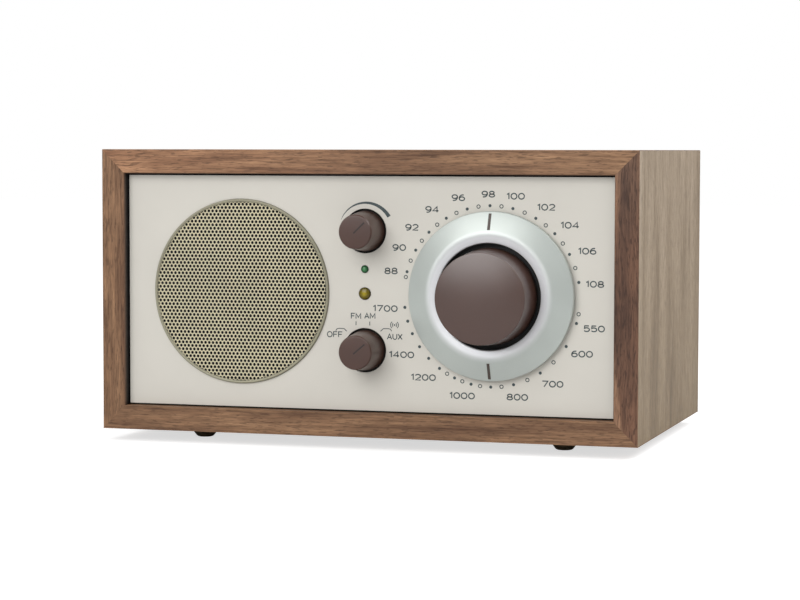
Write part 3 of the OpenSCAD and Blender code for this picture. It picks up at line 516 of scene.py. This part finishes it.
def mitred_board(name, node, along, outward, materials):
    """A board with mitred ends whose long outer and inner edges are rounded.
    outward is the way that its outer face looks.
    materials are for the face, the front edge and the inside."""
    low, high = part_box(node)
    length_axis = "XYZ".index(along)
    thick_axis = 2 if along == "X" else 0
    outer = high[thick_axis] if outward > 0 else low[thick_axis]
    inner = low[thick_axis] if outward > 0 else high[thick_axis]
    verts = []
    for y in (low.y, high.y):
        for end, sign in ((low[length_axis], 1), (high[length_axis], -1)):
            for level, shift in ((outer, 0.0), (inner, BOARD_T * sign)):
                v = [0.0, y, 0.0]
                v[length_axis] = end + shift
                v[thick_axis] = level
                verts.append(v)
    obj = mesh_object(name, verts, BOX_FACES)
    finish_piece(obj, "cabinet", "walnut_veneer", materials[0], node)
    for extra in materials[1:]:
        obj.data.materials.append(extra)
    aligned, clearly_apart = 0.9, 20 * MM
    for poly in obj.data.polygons:
        if abs(poly.normal.y) > aligned:
            poly.material_index = 1
        elif poly.normal[thick_axis] * outward < -aligned:
            poly.material_index = 2
    bm = bmesh.new()
    bm.from_mesh(obj.data)
    weights = bm.edges.layers.float
    layer = weights.get("bevel_weight_edge") or weights.new("bevel_weight_edge")
    for edge in bm.edges:
        a, b = (v.co for v in edge.verts)
        long_edge = abs(a[length_axis] - b[length_axis]) > clearly_apart
        corner = abs(a.y - b.y) > clearly_apart and abs(a[thick_axis] - outer) < 0.01 * MM
        edge[layer] = 1.0 if long_edge else (0.45 if corner else 0.0)
    bm.to_mesh(obj.data)
    bm.free()
    mod = obj.modifiers.new("edge_round", "BEVEL")
    mod.width = 0.5 * MM
    mod.segments = 3
    mod.limit_method = "WEIGHT"
    return obj


# Painted light and shade in the veneer: the top rail is painted paler to the left, the right stile paler to its top
# and with a painted highlight along its inner edge, and the right side painted darker and yellower towards the floor
# The boards' inner faces take the painted recess shade
inside = recess_shade("painted_recess_shade")
top_edge = walnut("walnut_top_edge", "X", 1.3, FRONT_LIGHT, FRONT_DARK,
                  painted_light_fades=[((-1, 0, 0), -0.02, 0.10, (1.5, 1.45, 1.46))], fine=1.3)
top_face = walnut("walnut_top", "X", 2.1, FRONT_LIGHT, FRONT_DARK)
mitred_board("top_board", "cabinet_top", "X", 1, (top_face, top_edge, inside))
left_face = walnut("walnut_left", "Z", 7.1, FRONT_LIGHT, FRONT_DARK)
left_edge = walnut("walnut_left_edge", "Z", 5.2, shade(FRONT_LIGHT, 0.96), shade(FRONT_DARK, 0.9), fine=1.5)
mitred_board("left_board", "cabinet_left_side", "Z", -1, (left_face, left_edge, inside))
right_face = walnut("walnut_right", "Z", 4.6, SIDE_SHEEN_LIGHT, SIDE_SHEEN_DARK, 0.004, 0.55,
                    [((0, 0, -1), -0.10, -0.005, (0.68, 0.62, 0.50))], fine=2.2)
right_edge = walnut("walnut_right_edge", "Z", 8.3, RED_LIGHT, RED_DARK, 0.009,
                    painted_light_fades=[((0, 0, 1), 0.080, 0.104, (1.45, 1.6, 1.65)),
                           ((-1, 0, -0.13), -0.10275, -0.10195, (1.7, 1.9, 1.9))], fine=1.6)
mitred_board("right_board", "cabinet_right_side", "Z", 1, (right_face, right_edge, inside))


def foot(name, x, y):
    """A rubber foot that narrows towards a rounded sole."""
    top = FLOOR_TO_CABINET / MM
    outline = [(AXIS_R, top), (5.3, top), (5.1, 2.6), (3.1, 0.0), (AXIS_R, 0.0)]
    profile = round_profile(outline, {1: 0.3, 2: 1.6, 3: 1.6})
    verts, segments = [], 64
    for radius, height in profile:
        for k in range(segments):
            a = 2 * math.pi * k / segments
            verts.append((x + radius * MM * math.cos(a), y + radius * MM * math.sin(a), height * MM))
    return mesh_object(name, verts, ring_faces(len(profile), segments), 40)


feet_low, feet_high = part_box("rubber_feet")
foot_r = 6 * MM
for side, x in (("left", feet_low.x + foot_r), ("right", feet_high.x - foot_r)):
    for end, y in (("front", feet_low.y + foot_r), ("back", feet_high.y - foot_r)):
        rubber_foot = foot(f"foot_{end}_{side}", x, y)
        finish_piece(rubber_foot, "cabinet", "foot_rubber", SLOTS["foot_rubber"], "rubber_feet")


# ---------- speaker grille with real holes ----------


def grille():
    """A pierced sheet in hexagonal cells, each with a round hole, under a rolled rim."""
    pitch, hole, reach = 1.55, 0.63, 34.8
    sheet_h, sheet_t = 0.62, 0.45
    low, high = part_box("speaker_grille")
    radius = (high.x - low.x) / 2 / MM
    row = pitch * math.sqrt(3) / 2
    corner = pitch / math.sqrt(3)
    # The cell's outline: a corner, then the middle of the next side, six times
    outline = []
    for k in range(6):
        for distance, degrees in ((corner, 30 + 60 * k), (pitch / 2, 60 + 60 * k)):
            a = math.radians(degrees)
            outline.append((distance * math.cos(a), distance * math.sin(a), a))
    points = len(outline)
    verts, faces = [], []
    rows = int(reach / row) + 1
    for j in range(-rows, rows + 1):
        for i in range(-rows - 2, rows + 3):
            cx = (i + (0.5 if j % 2 else 0.0)) * pitch
            cz = j * row
            if math.hypot(cx, cz) > reach:
                continue
            base = len(verts)
            for x, z, a in outline:
                verts.append((cx + x, sheet_h, cz + z))
                verts.append((cx + hole * math.cos(a), sheet_h, cz + hole * math.sin(a)))
                verts.append((cx + hole * math.cos(a), sheet_h - sheet_t, cz + hole * math.sin(a)))
            for k in range(points):
                here, there = base + 3 * k, base + 3 * ((k + 1) % points)
                faces.append((here, there, there + 1, here + 1))
                faces.append((here + 1, there + 1, there + 2, here + 2))
    placed = [(SPEAKER.x + x * MM, PLATE_Y - h * MM, SPEAKER.z + z * MM) for x, h, z in verts]
    mesh = bpy.data.meshes.new("grille_sheet")
    mesh.from_pydata(placed, [], faces)
    bm = bmesh.new()
    bm.from_mesh(mesh)
    bmesh.ops.remove_doubles(bm, verts=bm.verts, dist=2e-6)
    bmesh.ops.recalc_face_normals(bm, faces=bm.faces)
    bm.to_mesh(mesh)
    bm.free()
    sheet = new_object("grille_sheet", mesh)
    profile = [(radius - 1.0, -0.2), (radius - 1.1, 0.5), (radius - 0.9, 0.80), (radius - 0.55, 0.90),
               (radius, 0.90), (radius, -1.5)]
    rim = lathe("grille_rim", round_profile(profile, {4: 0.35}), SPEAKER, 192)
    return sheet, rim


grille_sheet, grille_rim = grille()
finish_piece(grille_sheet, "cabinet", "grille_paint", SLOTS["grille_paint"], "speaker_grille")
# The rolled rim has the grille's paint at under half its brightness: painted shade on its rounded edge
rim_shade_paint = plain("grille_rim_painted_shade", (0.29, 0.275, 0.195), 0.42, metal=0.2, grain=2600, bump=0.06, vary=0.05)
finish_piece(grille_rim, "cabinet", "grille_paint", rim_shade_paint)

# Black cloth behind the holes, so near-black that it also stands in for the shade behind them
scrim = lathe("grille_scrim", [(AXIS_R, -1.2), (34.7, -1.2), (34.7, -1.45), (AXIS_R, -1.45)], SPEAKER, 96)
finish_piece(scrim, "cabinet", "cone_paper", weave("black_scrim_shade", (0.002, 0.002, 0.002), 160.0))


# ---------- dial disc, pointers and knobs ----------

dial_low, dial_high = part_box("dial_disc")
DIAL_R = (dial_high.x - dial_low.x) / 2 / MM
CROWN_H = (PLATE_Y - dial_low.y) / MM
WELL_R, CROWN_R, RIM_H, HUB_R = 19.8, 23.7, 3.0, 5.0
dial_profile = [
    (WELL_R + 0.6, 0.8), (WELL_R + 0.6, 3.4), (CROWN_R, CROWN_H - 1.4), (DIAL_R - 1.4, RIM_H - 1.4),
    (DIAL_R - 1.4, 0.6), (DIAL_R, 0.6), (DIAL_R, RIM_H), (CROWN_R, CROWN_H),
    (WELL_R + 0.25, CROWN_H - 0.45), (WELL_R + 0.25, 0.8),
]
dial_profile = round_profile(dial_profile, {6: 0.5, 7: 4.5, 8: 0.4})
dial = lathe("tuning_dial", dial_profile, DIAL, 256, 40)
finish_piece(dial, "dial", "dial_metal", SLOTS["dial_metal"], "dial_disc")
well_profile = [
    (HUB_R, 0.6), (WELL_R + 0.6, 0.6), (WELL_R + 0.6, 0.8), (WELL_R + 0.25, 0.8), (WELL_R + 0.24, 5.3),
    (WELL_R, 5.3), (WELL_R, 2.0), (HUB_R, 2.0),
]
well = lathe("dial_well", well_profile, DIAL, 192)
# The well is lined in near-black: painted shade for the dark gap round the knob
well_shade_black = plain("well_shade_black", (0.006, 0.006, 0.006), 0.6, grain=1500, bump=0.15, vary=0.2)
finish_piece(well, "dial", "dial_metal", well_shade_black)


def dial_height(radius):
    """Height of the dial's sloping face at a radius, in mm."""
    return RIM_H + (CROWN_H - RIM_H) * (DIAL_R - radius) / (DIAL_R - CROWN_R)


def pointer(name, side):
    """A thin inlaid bar that lies on the dial's slope, above or below the knob."""
    half, start, end = 0.55, 24.9, 31.0
    verts = []
    for lift in (-0.15, 0.05):
        for r in (start, end):
            for x in (-half, half):
                verts.append((DIAL.x + x * MM, PLATE_Y - (dial_height(r) + lift) * MM, DIAL.z + side * r * MM))
    paint = plain(name + "_paint", (0.075, 0.055, 0.045), 0.5, grain=3000, bump=0.05)
    finish_piece(mesh_object(name, verts, BOX_FACES), "dial", "knob_plastic", paint)


pointer("dial_pointer_top", 1)
pointer("dial_pointer_bottom", -1)


def knob_profile(base_r, face_r, low, high, edge, dome, bore=6.2):
    """A tapered knob from low to high whose edge is rounded and whose face rises by dome towards its middle."""
    rim_h, face_edge, steps = high - dome, face_r - edge * 0.55, 12
    profile = [(bore, low), (base_r - 0.1, low), (base_r, low + 0.3), (face_r, rim_h - edge), (face_edge, rim_h)]
    inwards = (face_edge - 2, rim_h + dome * 0.2)
    profile = round_profile(profile + [inwards], {3: edge * 0.45, 4: edge * 0.45})[:-1]
    for i in range(1, steps + 1):
        t = 1 - i / steps
        profile.append((max(AXIS_R, face_edge * t), rim_h + dome * (1 - t * t)))
    return profile


def knob_face_material(name, at, gloss=1.0):
    """Satin brown plastic with faint turned rings."""
    p = Paint(name)
    line = tool_lines(p, radial(p, at), 4200.0)
    grit = p.noise(p.moved(), 2300.0, 4.0, 0.7)
    cloud = p.noise(p.moved(), 90.0, 4.0)
    p.colour(p.ramp(cloud, [(0.3, shade(KNOB, 0.93)), (0.7, shade(KNOB, 1.08))]))
    p.rough(p.span(grit, 0.30, 0.38, 0.3, 0.7))
    p.normal(p.bump(p.math("ADD", p.math("MULTIPLY", line, 0.35), grit), 0.10, 0.00015))
    p.set(Specular_IOR_Level=gloss)
    return p.mat


TUNING_H = (PLATE_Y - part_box("tuning_knob")[0].y) / MM
tuning_skin = lathe("tuning_knob_skin", knob_profile(18.2, 17.1, 3.2, TUNING_H, 0.22, 1.7), DIAL, 192, 50)
tuning_satin = knob_face_material("tuning_knob_satin", DIAL)
finish_piece(tuning_skin, "tuning_knob", "knob_plastic", tuning_satin, "tuning_knob")

SMALL_H = (PLATE_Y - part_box("volume_knob")[0].y) / MM


def small_knob(name, node, at, body, angle):
    """A tapered knob with a cut line on its face that points at the setting; the line is a dark strip, painted shade
    standing in for the groove.
    """
    skin = lathe(name, knob_profile(7.7, 6.5, -0.9, SMALL_H, 0.6, 0.15, 5.4), at, 128, 50)
    finish_piece(skin, body, "knob_plastic", knob_face_material(name + "_satin", at, gloss=0.7), node)
    half, start, end = 0.28, -0.7, 5.1
    a = math.radians(angle)
    along, across = Vector((math.sin(a), 0, math.cos(a))), Vector((math.cos(a), 0, -math.sin(a)))
    verts = []
    for lift in (-0.25, 0.0):
        for r in (start, end):
            for s in (-half, half):
                face_middle = Vector((at.x, PLATE_Y - (SMALL_H + lift) * MM, at.z))
                verts.append(face_middle + along * r * MM + across * s * MM)
    # The line's near-black paint is painted shade in the groove
    paint = plain(name + "_groove_shade_paint", (0.022, 0.014, 0.012), 0.5, grain=3000, bump=0.05)
    finish_piece(mesh_object(name + "_line", verts, BOX_FACES), body, "knob_plastic", paint)


small_knob("volume_knob_skin", "volume_knob", VOLUME, "volume_knob", 46)
small_knob("mode_knob_skin", "mode_knob", MODE, "mode_knob", 50)


def lamp(name, at, radius, height, slot):
    """A moulded dome that caps the lamp's front."""
    dome = [(radius, -1.4), (radius, 0.0)]
    for t in range(10, 90, 10):
        dome.append((radius * math.cos(math.radians(t)), height * math.sin(math.radians(t))))
    obj = lathe(name, dome + [(AXIS_R, height)], at, 64, 60)
    finish_piece(obj, "cabinet", slot, SLOTS[slot])


lamp("green_lamp_dome", POWER, 1.52, 0.95, "green_lens")
lamp("amber_lamp_dome", AMBER, 2.42, 1.15, "amber_lens")


# ---------- printed scales ----------

# Each sign's width and strokes, for a height of 1
GLYPHS = {
    "0": (1.0, [arc_points(0.5, 0.5, 0.5, 0.5, 0, 360, 28)]),
    "1": (0.42, [[(0.0, 0.80), (0.34, 1.0), (0.34, 0.0)]]),
    "2": (0.95, [arc_points(0.47, 0.70, 0.45, 0.30, 165, -38, 12) + [(0.02, 0.0), (0.95, 0.0)]]),
    "4": (1.0, [[(0.74, 0.0), (0.74, 1.0), (0.0, 0.27), (1.0, 0.27)]]),
    "5": (0.95, [[(0.86, 1.0), (0.16, 1.0), (0.10, 0.55)] + arc_points(0.47, 0.33, 0.48, 0.33, 135, -150, 14)]),
    "6": (0.95, [arc_points(0.48, 0.32, 0.46, 0.32, 0, 360, 24), arc_points(0.62, 0.40, 0.60, 0.60, 188, 72, 10)]),
    "7": (0.95, [[(0.0, 1.0), (0.95, 1.0), (0.30, 0.0)]]),
    "8": (0.95, [arc_points(0.47, 0.75, 0.38, 0.25, 0, 360, 22), arc_points(0.47, 0.26, 0.46, 0.26, 0, 360, 24)]),
    "9": (0.95, [arc_points(0.47, 0.68, 0.46, 0.32, 0, 360, 24), arc_points(0.33, 0.60, 0.60, 0.60, 8, -108, 10)]),
    "A": (1.0, [[(0.0, 0.0), (0.5, 1.0), (1.0, 0.0)], [(0.18, 0.34), (0.82, 0.34)]]),
    "F": (0.8, [[(0.0, 0.0), (0.0, 1.0), (0.8, 1.0)], [(0.0, 0.52), (0.7, 0.52)]]),
    "M": (1.1, [[(0.0, 0.0), (0.0, 1.0), (0.55, 0.25), (1.1, 1.0), (1.1, 0.0)]]),
    "O": (1.05, [arc_points(0.52, 0.5, 0.52, 0.5, 0, 360, 28)]),
    "U": (0.9, [[(0.0, 1.0)] + arc_points(0.45, 0.42, 0.45, 0.42, 180, 360, 14) + [(0.9, 1.0)]]),
    "X": (0.95, [[(0.0, 0.0), (0.95, 1.0)], [(0.0, 1.0), (0.95, 0.0)]]),
}
INK_H = 0.03
FINE_LINE = 0.3
print_verts, print_faces = [], []


def ink_point(x, z):
    """A point of the print, in mm from the middle of the cabinet's front edge."""
    print_verts.append((x * MM, PLATE_Y - INK_H * MM, FLOOR_TO_CABINET + z * MM))
    return len(print_verts) - 1


def stroke(points, width):
    """A band of even width along points, mitred at its corners."""
    count = len(points)
    closed = math.hypot(points[0][0] - points[-1][0], points[0][1] - points[-1][1]) < 1e-6
    if closed:
        points, count = points[:-1], count - 1
    left, right = [], []
    for i, (x, z) in enumerate(points):
        before = points[(i - 1) % count] if closed or i > 0 else None
        after = points[(i + 1) % count] if closed or i < count - 1 else None
        d0 = Vector((x - before[0], z - before[1])).normalized() if before else None
        d1 = Vector((after[0] - x, after[1] - z)).normalized() if after else None
        d0, d1 = d0 or d1, d1 or d0
        along = (d0 + d1).normalized()
        across = Vector((-along.y, along.x))
        reach = min(1.8, 1 / max(0.3, across.dot(Vector((-d0.y, d0.x)))))
        shift = across * width / 2 * reach
        left.append(ink_point(x + shift.x, z + shift.y))
        right.append(ink_point(x - shift.x, z - shift.y))
    for i in range(count if closed else count - 1):
        n = (i + 1) % count
        print_faces.append((left[i], left[n], right[n], right[i]))


def ink_word(word, cx, cz, height=2.1, width=0.45, stretch=1.05, space=0.30):
    """A word of strokes centred at (cx, cz)."""
    total = sum(GLYPHS[c][0] for c in word) + space * (len(word) - 1)
    x = cx - total * height * stretch / 2
    for c in word:
        advance, strokes = GLYPHS[c]
        for line in strokes:
            stroke([(x + px * height * stretch, cz + (pz - 0.5) * height) for px, pz in line], width)
        x += (advance + space) * height * stretch


def ink_dot(x, z, radius, open_ring):
    """A station mark of the scale, filled or as a ring."""
    if open_ring:
        stroke(arc_points(x, z, radius, radius, 0, 360, 20), 0.33)
    else:
        print_faces.append(tuple(ink_point(*p) for p in arc_points(x, z, radius, radius, 0, 360, 18)[:-1]))


# The marks' circle in the print's mm, and the marks' angles clockwise from the top
SCALE_X, SCALE_Z, DOT_R = 49.55, 54.4, 34.0


def on_scale(angle):
    a = math.radians(angle)
    return SCALE_X + DOT_R * math.sin(a), SCALE_Z + DOT_R * math.cos(a)


FM_MARKS = [-75, -60, -45.5, -31, -16, -1, 14, 30, 45.5, 61.5, 80]
AM_FILLED = [106, 122, 146, 165, 180, 193, 204.5, 216, 225.5, 235, 244.5, 253, 262]
AM_OPEN = [100, 135, 155.5, 173, 187, 199, 210]
FM_OPEN = [-78.5] + [(a + b) / 2 for a, b in zip(FM_MARKS, FM_MARKS[1:])]
for angle in FM_MARKS + AM_FILLED:
    ink_dot(*on_scale(angle), 0.60, False)
for angle in FM_OPEN + AM_OPEN:
    ink_dot(*on_scale(angle), 0.64, True)

# Frequencies, placed in mm from the dial's middle
DIAL_X, DIAL_Z = DIAL.x / MM, (DIAL.z - FLOOR_TO_CABINET) / MM
for word, x, z in (
    ("88", -39.5, 8.8), ("90", -36.3, 17.7), ("92", -31.3, 25.4), ("94", -23.4, 32.2),
    ("96", -13.2, 36.7), ("98", -1.6, 38.1), ("100", 8.9, 37.4), ("102", 20.6, 33.4),
    ("104", 29.6, 26.8), ("106", 36.2, 17.3), ("108", 39.2, 5.1), ("550", 39.0, -11.4),
    ("600", 34.5, -20.9), ("700", 23.4, -32.4), ("800", 9.9, -37.7), ("1000", -11.5, -37.8),
    ("1200", -26.7, -31.3), ("1400", -35.3, -22.9), ("1700", -41.8, -5.5),
):
    ink_word(word, DIAL_X + x, DIAL_Z + z)

# The mode knob's labels, their ticks and brackets, and a mark of radio waves
ink_word("FM", -3.5, 46.0, 2.0, 0.38, 0.85)
ink_word("AM", 2.0, 46.15, 2.0, 0.38, 0.85)
ink_word("OFF", -12.0, 38.8, 2.0, 0.38, 0.92)
ink_word("AUX", 11.9, 38.45, 2.0, 0.38, 0.85)
for x in (-3.5, 2.0):
    stroke([(x, 44.0), (x, 42.5)], FINE_LINE)
for side, x, z in ((-1, -9.3, 40.2), (1, 8.4, 40.5)):
    bracket = ((2.3, 0.0), (1.8, 0.75), (1.0, 0.95), (-1.0, 0.9), (-2.1, -0.1))
    stroke([(x + side * dx, z + dz) for dx, dz in bracket], FINE_LINE)
WAVES = (11.8, 42.9)
for radius in (0.85, 1.55):
    for start in (-50, 130):
        stroke(arc_points(*WAVES, radius, radius, start, start + 100, 10), FINE_LINE)
ink_dot(*WAVES, 0.32, False)


def volume_arc():
    """A crescent that grows from a point to its full width clockwise round the volume knob."""
    steps, start, sweep = 36, -66, 126
    inner, thin, growth = 10.3, 0.12, 1.35
    knob_z = (VOLUME.z - FLOOR_TO_CABINET) / MM
    rows = []
    for i in range(steps + 1):
        t = i / steps
        a = math.radians(start + sweep * t)
        edges = (inner, inner + thin + growth * t)
        rows.append([ink_point(r * math.sin(a), knob_z + r * math.cos(a)) for r in edges])
    for (a, b), (c, d) in zip(rows, rows[1:]):
        print_faces.append((a, b, d, c))


volume_arc()
ink = mesh_object("scale_print", print_verts, print_faces)
film = ink.modifiers.new("film", "SOLIDIFY")
film.thickness = 0.028 * MM
film.offset = -1.0
slate = plain("slate_ink", (0.045, 0.065, 0.068), 0.5, grain=3000, bump=0.04, vary=0.12)
finish_piece(ink, "cabinet", "faceplate_paint", slate)


# ---------- floor, light and camera ----------


def area_light(name, place, target, size, power):
    data = bpy.data.lights.new(name, "AREA")
    data.shape = "RECTANGLE"
    data.size, data.size_y = size
    data.energy = power
    obj = bpy.data.objects.new(name, data)
    bpy.context.scene.collection.objects.link(obj)
    obj.location = place
    obj.rotation_euler = (Vector(target) - Vector(place)).to_track_quat("-Z", "Y").to_euler()


def table():
    """A pale table top that glows for the camera only, so that it looks as white as the room."""
    left, right, front, back = -4.0, 4.0, -0.75, 4.0
    corners = [(left, front, 0), (right, front, 0), (right, back, 0), (left, back, 0)]
    floor = mesh_object("studio_floor", corners, [(0, 1, 2, 3)])
    p = Paint("studio_table_top")
    cloud = p.noise(p.moved(), 3.0)
    p.colour(p.ramp(cloud, [(0.3, (0.62, 0.62, 0.62)), (0.7, (0.64, 0.64, 0.64))]))
    p.rough(p.span(cloud, 0.85, 0.95))
    p.set(Emission_Color=(1, 1, 1, 1), Specular_IOR_Level=0.1)
    seen = p.node("ShaderNodeLightPath").outputs["Is Camera Ray"]
    p.link(p.math("MULTIPLY", seen, 0.66), p.shader.inputs["Emission Strength"])
    floor.data.materials.append(p.mat)


def room():
    """A white room whose light is stronger from above than from below."""
    world = bpy.data.worlds.new("studio")
    bpy.context.scene.world = world
    world.use_nodes = True
    tree = world.node_tree
    add, link = tree.nodes.new, tree.links.new
    light = tree.nodes["Background"]
    light.inputs["Color"].default_value = (1, 1, 1, 1)
    backdrop = add("ShaderNodeBackground")
    backdrop.inputs["Color"].default_value = (1, 1, 1, 1)
    backdrop.inputs["Strength"].default_value = 1.0
    split = add("ShaderNodeSeparateXYZ")
    link(add("ShaderNodeTexCoord").outputs["Generated"], split.inputs["Vector"])
    height = add("ShaderNodeMapRange")
    link(split.outputs["Z"], height.inputs["Value"])
    for key, value in (("From Min", -0.2), ("From Max", 0.6), ("To Min", 0.12), ("To Max", 0.62)):
        height.inputs[key].default_value = value
    link(height.outputs["Result"], light.inputs["Strength"])
    chosen = add("ShaderNodeMixShader")
    link(add("ShaderNodeLightPath").outputs["Is Camera Ray"], chosen.inputs["Fac"])
    link(light.outputs["Background"], chosen.inputs[1])
    link(backdrop.outputs["Background"], chosen.inputs[2])
    link(chosen.outputs["Shader"], tree.nodes["World Output"].inputs["Surface"])


def camera():
    """The photograph's view: a long lens to the right of the front, near the height of the cabinet's top."""
    azimuth, elevation, roll = (math.radians(v) for v in (16.64, 3.55, 0.106))
    data = bpy.data.cameras.new("view")
    data.sensor_width = 36.0
    data.lens = 109.4
    data.clip_start = 0.01
    obj = bpy.data.objects.new("view", data)
    bpy.context.scene.collection.objects.link(obj)
    level = math.cos(elevation)
    forward = Vector((-math.sin(azimuth) * level, math.cos(azimuth) * level, -math.sin(elevation)))
    turn = forward.to_track_quat("-Z", "Y").to_matrix().to_4x4() @ Matrix.Rotation(roll, 4, "Z")
    place = (0.2769, FRONT_Y - 0.876, FLOOR_TO_CABINET + 0.1094)
    obj.matrix_world = Matrix.Translation(place) @ turn
    bpy.context.scene.camera = obj


table()
room()
area_light("key_top_left", (-0.35, -1.20, 0.68), (0, FRONT_Y, 0.06), (1.0, 0.95), 11.0)
area_light("side_right", (0.50, 0.02, 0.56), (0.1, 0, 0.06), (0.4, 0.4), 3.0)
camera()
bpy.context.scene.view_settings.view_transform = "Standard"
